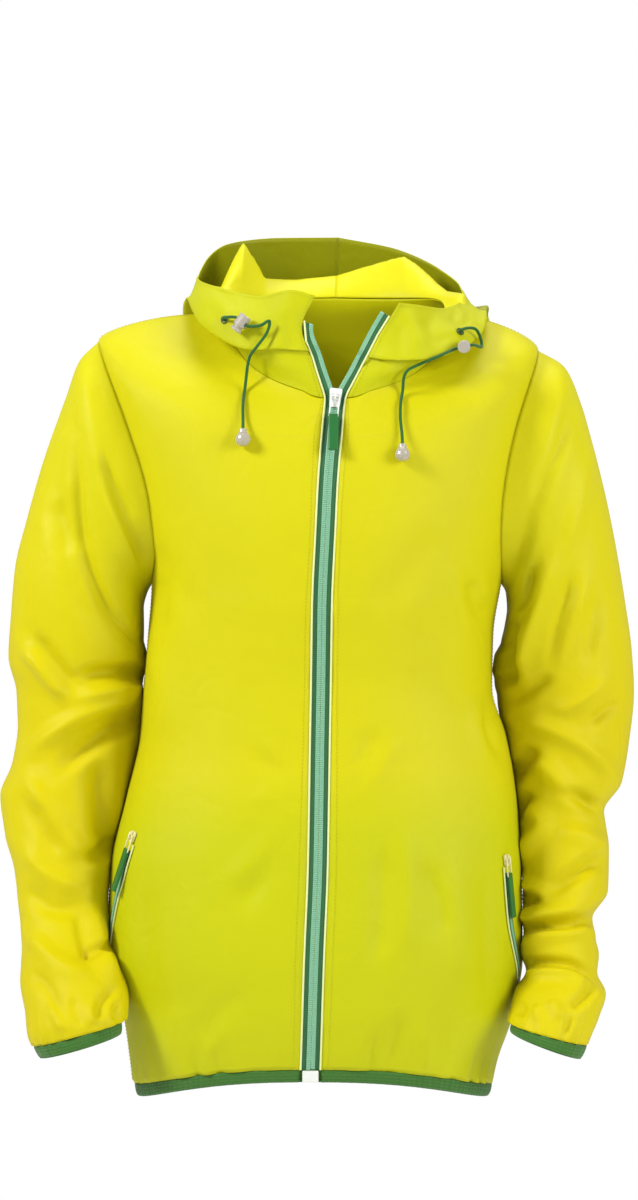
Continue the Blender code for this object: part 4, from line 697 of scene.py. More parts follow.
def resample(d, nv, nu, closed):
    """Resize a grid of vectors."""
    v = np.linspace(0, d.shape[0] - 1, nv)
    i = np.clip(v.astype(int), 0, d.shape[0] - 2)
    f = (v - i)[:, None, None]
    d = d[i] * (1 - f) + d[i + 1] * f
    if closed:
        n = d.shape[1]
        u = np.arange(nu) * n / nu
        i = u.astype(int) % n
        f = (u - u.astype(int))[None, :, None]
        return d[:, i] * (1 - f) + d[:, (i + 1) % n] * f
    u = np.linspace(0, d.shape[1] - 1, nu)
    i = np.clip(u.astype(int), 0, d.shape[1] - 2)
    f = (u - i)[None, :, None]
    return d[:, i] * (1 - f) + d[:, i + 1] * f


def settle(base, slack_u, slack_v, closed, pins, steps, keep, bend, seed):
    """Let cloth with more length than its space buckle: lengths between neighbours of the grid
    are kept, slack_* is the share of extra length, pins hold rows or columns, keep draws every
    point back to its place."""
    nv, nu = base.shape[:2]
    rng = np.random.default_rng(seed)
    free = np.ones((nv, nu))
    top, bottom, left, right = pins
    if top: free[-1] = 0
    if bottom: free[0] = 0
    if left and not closed: free[:, 0] = 0
    if right and not closed: free[:, -1] = 0
    p = base.copy()
    f3 = free[..., None]
    lu = np.linalg.norm(np.diff(base, axis=1), axis=-1) * (1 + slack_u[:, :-1])
    lv = np.linalg.norm(np.diff(base, axis=0), axis=-1) * (1 + slack_v[:-1])
    d1 = np.linalg.norm(base[1:, 1:] - base[:-1, :-1], axis=-1) * (1 + 0.5 * (slack_u[:-1, :-1] + slack_v[:-1, :-1]))
    d2 = np.linalg.norm(base[1:, :-1] - base[:-1, 1:], axis=-1) * (1 + 0.5 * (slack_u[:-1, :-1] + slack_v[:-1, :-1]))
    if closed:
        wrap = np.linalg.norm(base[:, 0] - base[:, -1], axis=-1) * (1 + slack_u[:, 0])

    def pull(a, b, length, stiff, fa, fb):
        d = b - a
        l = np.maximum(np.linalg.norm(d, axis=-1), 1e-9)
        m = (stiff * (l - length) / l)[..., None] * d
        w = np.maximum(fa + fb, 1e-9)[..., None]
        return m * (fa[..., None] / w), -m * (fb[..., None] / w)

    for it in range(steps):
        for par in (0, 1):
            a, b = p[:, par:-1:2], p[:, par + 1::2]
            n = min(a.shape[1], b.shape[1])
            ca, cb = pull(a[:, :n], b[:, :n], lu[:, par::2][:, :n], 1.0, free[:, par:-1:2][:, :n], free[:, par + 1::2][:, :n])
            a[:, :n] += ca
            b[:, :n] += cb
            a, b = p[par:-1:2], p[par + 1::2]
            n = min(a.shape[0], b.shape[0])
            ca, cb = pull(a[:n], b[:n], lv[par::2][:n], 1.0, free[par:-1:2][:n], free[par + 1::2][:n])
            a[:n] += ca
            b[:n] += cb
        if closed:
            ca, cb = pull(p[:, -1], p[:, 0], wrap, 1.0, free[:, -1], free[:, 0])
            p[:, -1] += ca
            p[:, 0] += cb
        # shear: both diagonals, averaged
        acc = np.zeros_like(p)
        ca, cb = pull(p[:-1, :-1], p[1:, 1:], d1, 0.18, free[:-1, :-1], free[1:, 1:])
        acc[:-1, :-1] += ca
        acc[1:, 1:] += cb
        ca, cb = pull(p[:-1, 1:], p[1:, :-1], d2, 0.18, free[:-1, 1:], free[1:, :-1])
        acc[:-1, 1:] += ca
        acc[1:, :-1] += cb
        # bending: pull every point a little to the middle of its neighbours
        if closed:
            lap = 0.5 * (np.roll(p, 1, 1) + np.roll(p, -1, 1)) - p
            ref = 0.5 * (np.roll(base, 1, 1) + np.roll(base, -1, 1)) - base
            acc += bend * (lap - ref)
        else:
            acc[:, 1:-1] += bend * (0.5 * (p[:, :-2] + p[:, 2:]) - p[:, 1:-1] - 0.5 * (base[:, :-2] + base[:, 2:]) + base[:, 1:-1])
        acc[1:-1] += bend * (0.5 * (p[:-2] + p[2:]) - p[1:-1] - 0.5 * (base[:-2] + base[2:]) + base[1:-1])
        p += acc * f3
        p += keep * (base - p) * f3
        if it == 0:
            noise = rng.normal(size=(nv, nu, 1))
            for _ in range(3):
                noise[1:-1] = (noise[:-2] + 2 * noise[1:-1] + noise[2:]) / 4
                noise[:, 1:-1] = (noise[:, :-2] + 2 * noise[:, 1:-1] + noise[:, 2:]) / 4
            p += grid_normals(base, closed) * noise * 0.0012 * f3
    return p


def buckled(make, sizes, closed, slack_u, slack_v, pins, keep, bend, seed, steps=(160, 90, 45)):
    """Settle cloth coarse to fine. make(nv, nu) gives the base grid; slack_*(nv, nu) give fields."""
    offset = None
    for (nv, nu), n in zip(sizes, steps):
        base = make(nv, nu)
        if offset is None:
            start = base
            p = settle(base, slack_u(nv, nu), slack_v(nv, nu), closed, pins, n, keep, bend, seed)
        else:
            off = resample(offset, nv, nu, closed)
            off[1:-1] = (off[:-2] + 2 * off[1:-1] + off[2:]) / 4
            p = settle_from(base, base + off, slack_u(nv, nu), slack_v(nv, nu), closed, pins, n, keep, bend, seed)
        offset = p - base
    return p


def settle_from(base, start, slack_u, slack_v, closed, pins, steps, keep, bend, seed):
    """As settle, but lengths come from base while the cloth starts at start and is kept near it."""
    nv, nu = base.shape[:2]
    free = np.ones((nv, nu))
    top, bottom, left, right = pins
    if top: free[-1] = 0
    if bottom: free[0] = 0
    if left and not closed: free[:, 0] = 0
    if right and not closed: free[:, -1] = 0
    p = start * free[..., None] + base * (1 - free[..., None])
    home = p.copy()
    f3 = free[..., None]
    lu = np.linalg.norm(np.diff(base, axis=1), axis=-1) * (1 + slack_u[:, :-1])
    lv = np.linalg.norm(np.diff(base, axis=0), axis=-1) * (1 + slack_v[:-1])
    for it in range(steps):
        acc = np.zeros_like(p)
        d = p[:, 1:] - p[:, :-1]
        l = np.linalg.norm(d, axis=-1)
        m = (0.45 * (l - lu) / np.maximum(l, 1e-9))[..., None] * d
        acc[:, :-1] += 0.5 * m
        acc[:, 1:] -= 0.5 * m
        d = p[1:] - p[:-1]
        l = np.linalg.norm(d, axis=-1)
        m = (0.45 * (l - lv) / np.maximum(l, 1e-9))[..., None] * d
        acc[:-1] += 0.5 * m
        acc[1:] -= 0.5 * m
        if closed:
            acc += bend * (0.5 * (np.roll(p, 1, 1) + np.roll(p, -1, 1)) - p - 0.5 * (np.roll(base, 1, 1) + np.roll(base, -1, 1)) + base)
        else:
            acc[:, 1:-1] += bend * (0.5 * (p[:, :-2] + p[:, 2:]) - p[:, 1:-1] - 0.5 * (base[:, :-2] + base[:, 2:]) + base[:, 1:-1])
        acc[1:-1] += bend * (0.5 * (p[:-2] + p[2:]) - p[1:-1] - 0.5 * (base[:-2] + base[2:]) + base[1:-1])
        p += acc * f3
        p += keep * (home - p) * f3
    return p


# ------------------------------------------------------------------ materials
def rgb(r, g, b):
    """Linear colour from display values 0 to 255."""
    out = []
    for v in (r, g, b):
        v /= 255.0
        out.append(v / 12.92 if v <= 0.04045 else ((v + 0.055) / 1.055) ** 2.4)
    return (*out, 1.0)


class Nodes:
    """Small helper to build a node material."""
    def __init__(self, name):
        self.mat = bpy.data.materials.new(name)
        self.mat.use_nodes = True
        self.nt = self.mat.node_tree
        self.bsdf = self.nt.nodes["Principled BSDF"]
        self.out = self.nt.nodes["Material Output"]

    def add(self, kind, **values):
        n = self.nt.nodes.new(kind)
        for k, v in values.items():
            if hasattr(n, k):
                setattr(n, k, v)
            else:
                n.inputs[k].default_value = v
        return n

    def link(self, a, b):
        self.nt.links.new(a, b)


def nylon(name, colour, shade, inside=False, weave=0.35, low_uv_band=None):
    """Coated nylon: fine ripstop weave, cloudy tone, soft sheen, some light let through."""
    m = Nodes(name)
    uv = m.add("ShaderNodeUVMap", uv_map="cut")
    obj = m.add("ShaderNodeTexCoord")
    # cloudy tone
    cloud = m.add("ShaderNodeTexNoise")
    cloud.inputs["Scale"].default_value = 9.0
    cloud.inputs["Detail"].default_value = 4.0
    m.link(obj.outputs["Object"], cloud.inputs["Vector"])
    mix = m.add("ShaderNodeMix", data_type="RGBA")
    ramp = m.add("ShaderNodeMapRange")
    ramp.inputs["From Min"].default_value = 0.35
    ramp.inputs["From Max"].default_value = 0.72
    ramp.inputs["To Max"].default_value = 0.45
    m.link(cloud.outputs["Fac"], ramp.inputs["Value"])
    m.link(ramp.outputs["Result"], mix.inputs["Factor"])
    mix.inputs["A"].default_value = colour
    mix.inputs["B"].default_value = shade
    tone = mix.outputs["Result"]
    # a band of another colour at the low end of the cut's map: greener low on the body, lime by the armhole on the
    # sleeves, and on the hood's inside the plain lit lime by the neckline, where the painted shade ends
    if low_uv_band:
        sep = m.add("ShaderNodeSeparateXYZ")
        m.link(uv.outputs["UV"], sep.inputs["Vector"])
        low = m.add("ShaderNodeMapRange")
        low.inputs["From Min"].default_value = low_uv_band[1]
        low.inputs["From Max"].default_value = low_uv_band[2]
        low.inputs["To Min"].default_value = low_uv_band[3]
        low.inputs["To Max"].default_value = 0.0
        m.link(sep.outputs["Y"], low.inputs["Value"])
        mix2 = m.add("ShaderNodeMix", data_type="RGBA")
        m.link(low.outputs["Result"], mix2.inputs["Factor"])
        m.link(tone, mix2.inputs["A"])
        mix2.inputs["B"].default_value = low_uv_band[0]
        tone = mix2.outputs["Result"]
    # weave: fine threads both ways
    thread = m.add("ShaderNodeTexWave", wave_type="BANDS", bands_direction="X")
    thread.inputs["Scale"].default_value = 420.0
    thread.inputs["Distortion"].default_value = 0.6
    m.link(uv.outputs["UV"], thread.inputs["Vector"])
    thread2 = m.add("ShaderNodeTexWave", wave_type="BANDS", bands_direction="Y")
    thread2.inputs["Scale"].default_value = 420.0
    thread2.inputs["Distortion"].default_value = 0.6
    m.link(uv.outputs["UV"], thread2.inputs["Vector"])
    add = m.add("ShaderNodeMath", operation="ADD")
    m.link(thread.outputs["Fac"], add.inputs[0])
    m.link(thread2.outputs["Fac"], add.inputs[1])
    crinkle = m.add("ShaderNodeTexNoise")
    crinkle.inputs["Scale"].default_value = 95.0
    crinkle.inputs["Detail"].default_value = 3.0
    crinkle.inputs["Distortion"].default_value = 0.6
    m.link(obj.outputs["Object"], crinkle.inputs["Vector"])
    bump2 = m.add("ShaderNodeBump")
    bump2.inputs["Strength"].default_value = 0.16
    bump2.inputs["Distance"].default_value = 0.0012
    m.link(crinkle.outputs["Fac"], bump2.inputs["Height"])
    facet = m.add("ShaderNodeTexNoise")
    facet.inputs["Scale"].default_value = 30.0
    facet.inputs["Detail"].default_value = 1.5
    facet.inputs["Distortion"].default_value = 1.4
    m.link(obj.outputs["Object"], facet.inputs["Vector"])
    bump3 = m.add("ShaderNodeBump")
    bump3.inputs["Strength"].default_value = 0.30
    bump3.inputs["Distance"].default_value = 0.0030
    m.link(facet.outputs["Fac"], bump3.inputs["Height"])
    m.link(bump3.outputs["Normal"], bump2.inputs["Normal"])
    bump = m.add("ShaderNodeBump")
    bump.inputs["Strength"].default_value = weave
    bump.inputs["Distance"].default_value = 0.00012
    m.link(add.outputs["Value"], bump.inputs["Height"])
    m.link(bump2.outputs["Normal"], bump.inputs["Normal"])
    m.link(bump.outputs["Normal"], m.bsdf.inputs["Normal"])
    m.link(tone, m.bsdf.inputs["Base Color"])
    rough = m.add("ShaderNodeMapRange")
    rough.inputs["To Min"].default_value = 0.40
    rough.inputs["To Max"].default_value = 0.54
    m.link(cloud.outputs["Fac"], rough.inputs["Value"])
    m.link(rough.outputs["Result"], m.bsdf.inputs["Roughness"])
    m.bsdf.inputs["Specular IOR Level"].default_value = 0.22
    m.bsdf.inputs["Sheen Weight"].default_value = 0.02
    m.bsdf.inputs["Sheen Roughness"].default_value = 0.4
    glow = m.add("ShaderNodeBsdfTranslucent")
    m.link(tone, glow.inputs["Color"])
    m.link(bump.outputs["Normal"], glow.inputs["Normal"])
    both = m.add("ShaderNodeMixShader")
    both.inputs["Fac"].default_value = 0.22 if not inside else 0.10
    m.link(m.bsdf.outputs["BSDF"], both.inputs[1])
    m.link(glow.outputs["BSDF"], both.inputs[2])
    m.link(both.outputs["Shader"], m.out.inputs["Surface"])
    return m.mat


def plastic(name, colour, rough, spots=60.0, depth=0.0001, through=0.0, coat=0.0):
    m = Nodes(name)
    obj = m.add("ShaderNodeTexCoord")
    n = m.add("ShaderNodeTexNoise")
    n.inputs["Scale"].default_value = spots * 20
    n.inputs["Detail"].default_value = 4.0
    m.link(obj.outputs["Object"], n.inputs["Vector"])
    mix = m.add("ShaderNodeMix", data_type="RGBA")
    mix.inputs["A"].default_value = colour
    mix.inputs["B"].default_value = (*[c * 0.80 for c in colour[:3]], 1.0)
    m.link(n.outputs["Fac"], mix.inputs["Factor"])
    m.link(mix.outputs["Result"], m.bsdf.inputs["Base Color"])
    r = m.add("ShaderNodeMapRange")
    r.inputs["To Min"].default_value = max(0.05, rough - 0.08)
    r.inputs["To Max"].default_value = rough + 0.08
    m.link(n.outputs["Fac"], r.inputs["Value"])
    m.link(r.outputs["Result"], m.bsdf.inputs["Roughness"])
    b = m.add("ShaderNodeBump")
    b.inputs["Strength"].default_value = 0.25
    b.inputs["Distance"].default_value = depth
    m.link(n.outputs["Fac"], b.inputs["Height"])
    m.link(b.outputs["Normal"], m.bsdf.inputs["Normal"])
    m.bsdf.inputs["Coat Weight"].default_value = coat
    m.bsdf.inputs["Coat Roughness"].default_value = 0.15
    if through:
        m.bsdf.inputs["Transmission Weight"].default_value = through
        m.bsdf.inputs["IOR"].default_value = 1.45
    return m.mat


def woven(name, colour, pitch_x, pitch_y, depth=0.0003, rough=0.75, groove_shade=0.62):
    """Narrow woven or knitted goods: ribs along one way, crossed more finely the other."""
    m = Nodes(name)
    uv = m.add("ShaderNodeUVMap", uv_map="cut")
    a = m.add("ShaderNodeTexWave", wave_type="BANDS", bands_direction="X")
    a.inputs["Scale"].default_value = 0.32 / pitch_x
    m.link(uv.outputs["UV"], a.inputs["Vector"])
    b = m.add("ShaderNodeTexWave", wave_type="BANDS", bands_direction="Y")
    b.inputs["Scale"].default_value = 0.32 / pitch_y
    m.link(uv.outputs["UV"], b.inputs["Vector"])
    mul = m.add("ShaderNodeMath", operation="MULTIPLY")
    m.link(a.outputs["Fac"], mul.inputs[0])
    m.link(b.outputs["Fac"], mul.inputs[1])
    # painted shade: the colour is made darker between the ribs, where the bump is lowest, as shade in the weave's
    # grooves
    mix = m.add("ShaderNodeMix", data_type="RGBA")
    mix.inputs["B"].default_value = colour
    mix.inputs["A"].default_value = (*[c * groove_shade for c in colour[:3]], 1.0)
    m.link(mul.outputs["Value"], mix.inputs["Factor"])
    obj = m.add("ShaderNodeTexCoord")
    n = m.add("ShaderNodeTexNoise")
    n.inputs["Scale"].default_value = 40.0
    m.link(obj.outputs["Object"], n.inputs["Vector"])
    mix2 = m.add("ShaderNodeMix", data_type="RGBA", blend_type="MULTIPLY")
    mix2.inputs["Factor"].default_value = 0.35
    m.link(mix.outputs["Result"], mix2.inputs["A"])
    m.link(n.outputs["Color"], mix2.inputs["B"])
    m.link(mix.outputs["Result"], m.bsdf.inputs["Base Color"])
    bump = m.add("ShaderNodeBump")
    bump.inputs["Strength"].default_value = 0.7
    bump.inputs["Distance"].default_value = depth
    m.link(mul.outputs["Value"], bump.inputs["Height"])
    m.link(bump.outputs["Normal"], m.bsdf.inputs["Normal"])
    m.bsdf.inputs["Roughness"].default_value = rough
    m.bsdf.inputs["Sheen Weight"].default_value = 0.15
    return m.mat


BODY_LIME, BODY_SHADE = rgb(228, 221, 12), rgb(219, 213, 4)
SLEEVE_GOLD, SLEEVE_SHADE = rgb(232, 218, 1), rgb(225, 206, 0)
MAT = {
    "body": nylon("nylon_body", BODY_LIME, BODY_SHADE, low_uv_band=(rgb(208, 214, 6), 0.205, 0.262, 0.75)),
    "back": nylon("nylon_back", BODY_LIME, BODY_SHADE),
    "sleeve": nylon("nylon_sleeve", SLEEVE_GOLD, SLEEVE_SHADE, low_uv_band=(rgb(228, 222, 10), 0.05, 0.22, 0.9)),
    "hood": nylon("nylon_hood", rgb(214, 216, 8), rgb(204, 208, 4)),
    "inside": nylon("nylon_inside", rgb(216, 214, 10), rgb(206, 200, 6), inside=True, weave=0.2),
    # painted shade: both colours of the hood's inside are dark olive, standing for the shade on the far wall of the
    # lying hood; the band nearest the neckline goes back to the plain lit lime of the part standing round the neck
    "hood_inside_painted_shade": nylon("nylon_hood_inside", rgb(158, 160, 14), rgb(140, 144, 10), inside=True, weave=0.2,
                         low_uv_band=(rgb(226, 220, 4), 0.075, 0.105, 1.0)),
    "binding": woven("stretch_binding", rgb(64, 128, 30), 0.0011, 0.0030, 0.0004),
    "tape": woven("zip_tape_weave", rgb(58, 128, 76), 0.0009, 0.0009, 0.0002),
    "coil": plastic("zip_coil", rgb(146, 204, 168), 0.38),
    "piping": plastic("piping_cloth", rgb(238, 244, 168), 0.5),
    "white": plastic("white_coat", rgb(240, 242, 236), 0.30, coat=0.3),
    "cream": plastic("cream_coat", rgb(244, 236, 176), 0.32, coat=0.3),
    "puller": plastic("puller_mould", rgb(30, 112, 46), 0.36, coat=0.2),
    "cord": woven("cord_braid", rgb(30, 112, 26), 0.0012, 0.0012, 0.0003),
    "clear": plastic("clear_mould", rgb(214, 206, 190), 0.22, through=0.35, coat=0.4),
    "eyelet": plastic("eyelet_paint", rgb(64, 92, 46), 0.4),
    "thread": plastic("thread_finish", rgb(206, 204, 24), 0.7),
    "thread_green": plastic("thread_green_finish", rgb(52, 108, 34), 0.7),
}


# ------------------------------------------------------------------ meshes
def grid_mesh(name, g, closed, material, node, thick=0.0007, inside="inside", cut=(1.0, 1.0), flip=False):
    """Thin shell of cloth on a grid, with a map of its cut in metres."""
    nv, nu = g.shape[:2]
    me = bpy.data.meshes.new(name)
    idx = np.arange(nv * nu).reshape(nv, nu)
    if closed:
        nxt = np.roll(idx, -1, axis=1)
        quads = np.stack([idx[:-1], nxt[:-1], nxt[1:], idx[1:]], -1).reshape(-1, 4)
    else:
        quads = np.stack([idx[:-1, :-1], idx[:-1, 1:], idx[1:, 1:], idx[1:, :-1]], -1).reshape(-1, 4)
    if flip:
        quads = quads[:, ::-1]
    me.from_pydata([tuple(p) for p in g.reshape(-1, 3)], [], quads.tolist())
    me.update()
    # map: lengths along the mid row and mid column
    cols = nu + 1 if closed else nu
    gu = np.hstack([g, g[:, :1]]) if closed else g
    u = np.concatenate([[0], np.cumsum(np.linalg.norm(np.diff(gu, axis=1), axis=-1).mean(0))])
    v = np.concatenate([[0], np.cumsum(np.linalg.norm(np.diff(g, axis=0), axis=-1).mean(1))])
    layer = me.uv_layers.new(name="cut")
    n_q = len(quads)
    row = np.repeat(np.arange(nv - 1), cols - 1)
    col = np.tile(np.arange(cols - 1), nv - 1)
    corner = np.stack([np.stack([u[col], v[row]], -1), np.stack([u[col + 1], v[row]], -1),
                       np.stack([u[col + 1], v[row + 1]], -1), np.stack([u[col], v[row + 1]], -1)], 1)
    if flip:
        corner = corner[:, ::-1]
    layer.data.foreach_set("uv", corner.reshape(-1).astype(np.float32))
    me.shade_smooth()
    obj = bpy.data.objects.new(name, me)
    bpy.context.scene.collection.objects.link(obj)
    obj.data.materials.append(MAT[material])
    obj.data.materials.append(MAT[inside])
    mod = obj.modifiers.new("wall", "SOLIDIFY")
    mod.thickness = thick
    mod.offset = -1.0
    mod.use_even_offset = False
    mod.material_offset = 1
    mod.material_offset_rim = 0
    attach(obj, "root")
    if node:
        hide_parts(node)
    return obj


FINE = 1.0


def n_of(x):
    return max(8, int(round(x * FINE)))


def const(value):
    return lambda nv, nu: np.full((nv, nu), value)


# body: one displacement for the whole torso so that neighbouring panels meet
def soft_body(theta, h):
    """The torso with its shoulder break eased, as cloth passes over it."""
    near = np.exp(-((h - 0.885) / 0.05) ** 2) * (1 - smooth_share(h, 0.95, 0.985))
    near = near * smooth_share(np.abs(np.cos(np.radians(theta))), 0.12, 0.45)
    total, weight = 0.0, 0.0
    for k, w in ((-3, 1), (-2, 3), (-1, 5), (0, 6), (1, 5), (2, 3), (3, 1)):
        total = total + w * body(theta, np.clip(h + k * 0.014 * near, 0, 1))
        weight += w
    return total / weight


def torso_points(theta, h):
    p = soft_body(theta, h)
    e = 0.02
    n = np.cross(soft_body(theta + 0.5, h) - soft_body(theta - 0.5, h),
                 soft_body(theta, np.clip(h + e * 0.2, 0, 1)) - soft_body(theta, np.clip(h - e * 0.2, 0, 1)))
    n /= np.maximum(np.linalg.norm(n, axis=-1, keepdims=True), 1e-12)
    q = in_view(p)
    front = smooth_share(-n[..., 1], 0.05, 0.45)
    back = smooth_share(n[..., 1], 0.05, 0.45)
    height = fold_height(q, FRONT_FOLDS, 1.3) * front + fold_height(q, BACK_FOLDS, 1.2) * back
    # gathers above the elastic hem, uneven in spacing
    th = np.radians(theta)
    wave = np.sin(th * 31 + 2.2 * np.sin(th * 5.3 + 1) + 1.3 * np.sin(th * 11.1))
    deep = 0.5 + 0.5 * np.sin(th * 7.7 + 0.6 * np.sin(th * 3.1))
    fade = np.exp(-np.clip(h - HEM_H, 0, 1) / 0.028)
    height += (1.3 * deep * wave + 0.5 * wave) * fade
    # keep the zip edge and the neckline flat
    zip_off = np.minimum(np.abs(theta % 360), 360 - np.abs(theta % 360))
    height *= smooth_share(zip_off, 4.5, 14.0) * (1 - smooth_share(h, 0.965, 0.995))
    return p + n * (height * MM)[..., None]


def front_rows(nv):
    """Heights denser round the armhole's ends."""
    base = panel_rows(12, 11, 3, HEM_H, 0.9990)
    return np.interp(np.linspace(0, 1, nv), np.linspace(0, 1, len(base)), base)


def front_surface(side):
    def make(nv, nu):
        rows = front_rows(nv)
        inner = zip_angle(side, rows, ZIP_HALF + PIPE_R * 2 - 0.4)
        outer = 90.0 - arm_reach(rows, ARM_FRONT)
        u = np.linspace(0, 1, nu)
        theta = side * (inner[:, None] + (outer - inner)[:, None] * u[None, :])
        g = torso_points(theta, rows[:, None] + 0 * theta)
        return g if side > 0 else g[:, ::-1]
    return make


def back_surface(nv, nu):
    rows = front_rows(nv)
    edge = 90.0 + arm_reach(rows, ARM_BACK)
    u = np.linspace(0, 1, nu)
    theta = edge[:, None] + (360.0 - 2 * edge)[:, None] * u[None, :]
    return torso_points(theta, rows[:, None] + 0 * theta)


def sleeve_surface(side):
    folds = SLEEVE_LEFT_FOLDS if side < 0 else SLEEVE_RIGHT_FOLDS
    cuff_t = 1.0 - 0.022

    def make(nv, nu):
        psi = np.arange(nu) * 360.0 / nu
        t = np.linspace(0.0, cuff_t, nv)
        s, rings = sleeve_sections(side, psi)
        # the armhole edge lies exactly on the torso's edge
        mid, half = 0.5 * (ARM_LOW + ARM_HIGH), 0.5 * (ARM_HIGH - ARM_LOW)
        pr = np.radians(psi)
        reach = np.where(np.sin(pr) >= 0, ARM_FRONT, ARM_BACK)
        edge = torso_points(side * (90.0 - reach * np.sin(pr)), mid - half * np.cos(pr))
        rings[0] = edge
        g = pchip(s, rings, t)
        if side < 0:
            g = g[:, ::-1]
        n = grid_normals(g[::-1], True)[::-1]
        q = in_view(g)
        front = smooth_share(-n[..., 1], 0.0, 0.40)
        back = smooth_share(n[..., 1], 0.0, 0.40)
        height = fold_height(q, folds, 1.75, 0.9) * front + fold_height(q, SLEEVE_BACK_FOLDS, 1.5, 0.9) * back
        ends = smooth_share(t, 0.0, 0.05) * (1 - 0.8 * smooth_share(t, 0.955, cuff_t))
        height *= ends[:, None]
        a = np.radians(psi if side > 0 else psi[::-1])[None, :]
        wave = np.sin(a * 17 + 1.6 * np.sin(a * 3 + side) + 0.9 * np.sin(a * 6))
        height += 0.9 * wave * np.exp(-(cuff_t - t[:, None]) / 0.022)
        return g + n * (height * MM)[..., None]
    return make


# Crest of the part of the hood that stands round the neck, as seen in the front view: how high the
# plain form reaches and how high the cloth really stands.
CREST = (
    # across plain_down real_down
    (200.0, 290.0, 291.0), (212.0, 282.0, 290.0), (221.5, 256.0, 288.0), (232.0, 249.0, 266.0), (243.5, 243.5, 243.0),
    (252.0, 245.0, 258.0), (264.0, 248.0, 279.0), (295.0, 257.5, 281.0), (337.0, 261.0, 276.0), (378.0, 257.0, 264.0),
    (394.0, 254.5, 258.5), (404.0, 253.0, 256.5), (414.0, 251.5, 263.0), (426.0, 251.5, 274.0), (437.0, 257.0, 285.0), (447.0, 264.0, 292.0),
    (464.0, 291.0, 295.0),
)


def hood_surface(side):
    def make(nv, nu):
        angles = np.linspace(0.0, 180.0, nu)
        g = lying_hood(side, angles, nv)
        q = in_view(g)
        tab = np.array(CREST)
        plain, real = np.interp(q[..., 0], tab[:, 0], tab[:, 1]), np.interp(q[..., 0], tab[:, 0], tab[:, 2])
        share = (296.0 - real) / np.maximum(296.0 - plain, 1.0)
        k = (VIEW_D + g[..., 1]) / VIEW_D
        part = smooth_share(g[..., 1], -0.035, -0.012) * (1 - smooth_share(np.linspace(0, 1, nv), 0.50, 0.60))[:, None]
        drop = np.clip(296.0 - q[..., 1], 0, None) * (1 - share)
        g[..., 2] -= part * drop * VIEW_S * k
        if side < 0:
            g = g[:, ::-1]
        n = grid_normals(g, False)
        q = in_view(g)
        front = smooth_share(-n[..., 1], 0.0, 0.40)
        height = fold_height(q, HOOD_FOLDS) * front
        v = np.linspace(0, 1, nv)
        height *= (smooth_share(v, 0.0, 0.06) * (1 - smooth_share(v, 0.93, 1.0)))[:, None]
        ang = (angles if side > 0 else angles[::-1])[None, :]
        # soft folds that run down the lying part behind, meeting at the centre seam
        a = np.radians(ang)
        wave = 2.4 * np.sin(a * 9 + 1.1 * side + 2.0 * v[:, None]) + 1.4 * np.sin(a * 15 + 2.0 * side + 5 * v[:, None])
        height = height + wave * smooth_share(ang, 80.0, 110.0) * (1 - smooth_share(ang, 168.0, 178.0)) * (np.sin(np.pi * v) * smooth_share(v, 0.30, 0.55))[:, None]
        height = height * smooth_share(ang, 0.0, 5.0)
        return g + n * (height * MM)[..., None]
    return make


def slack_sleeve(base, up):
    def field(nv, nu):
        t = np.linspace(0, 1, nv)[:, None]
        return np.broadcast_to(base + up * smooth_share(t, 0.35, 0.6) + 0.03 * smooth_share(t, 0.93, 1.0), (nv, nu)).copy()
    return field


def slack_front(base, side):
    def field(nv, nu):
        v = np.linspace(0, 1, nv)[:, None]
        u = np.linspace(0, 1, nu)[None, :]
        zip_share = u if side > 0 else 1 - u
        return base + 0.020 * (1 - smooth_share(v, 0.0, 0.10)) + 0.028 * (1 - smooth_share(zip_share, 0.0, 0.10)) * (1 + 0 * v)
    return field


def slack_u_front(base, side):
    def field(nv, nu):
        v = np.linspace(0, 1, nv)[:, None]
        return base + 0.045 * (1 - smooth_share(v, 0.0, 0.07)) + np.zeros((nv, nu))
    return field


CLOTH = {}
for side, tag in ((-1.0, "left"), (1.0, "right")):
    CLOTH["front_" + tag] = buckled(
        front_surface(side), [(n_of(50), n_of(18)), (n_of(100), n_of(36)), (n_of(200), n_of(72))], False,
        slack_u_front(0.004, side), slack_front(0.004, side), (True, True, True, True), 0.03, 0.04, 11 + int(side))
    CLOTH["sleeve_" + tag] = buckled(
        sleeve_surface(side), [(n_of(56), n_of(30)), (n_of(112), n_of(60)), (n_of(214), n_of(118))], True,
        const(0.004), slack_sleeve(0.012, 0.022), (True, True, False, False), 0.02, 0.04, 31 + int(side))
    CLOTH["hood_" + tag] = buckled(
        hood_surface(side), [(n_of(36), n_of(30)), (n_of(72), n_of(60)), (n_of(130), n_of(110))], False,
        const(0.008), const(0.010), (True, True, True, True), 0.04, 0.05, 51 + int(side))
CLOTH["back"] = buckled(back_surface, [(n_of(50), n_of(30)), (n_of(100), n_of(64)), (n_of(200), n_of(130))], False,
                        slack_u_front(0.004, 1), const(0.008), (True, True, True, True), 0.03, 0.04, 77)


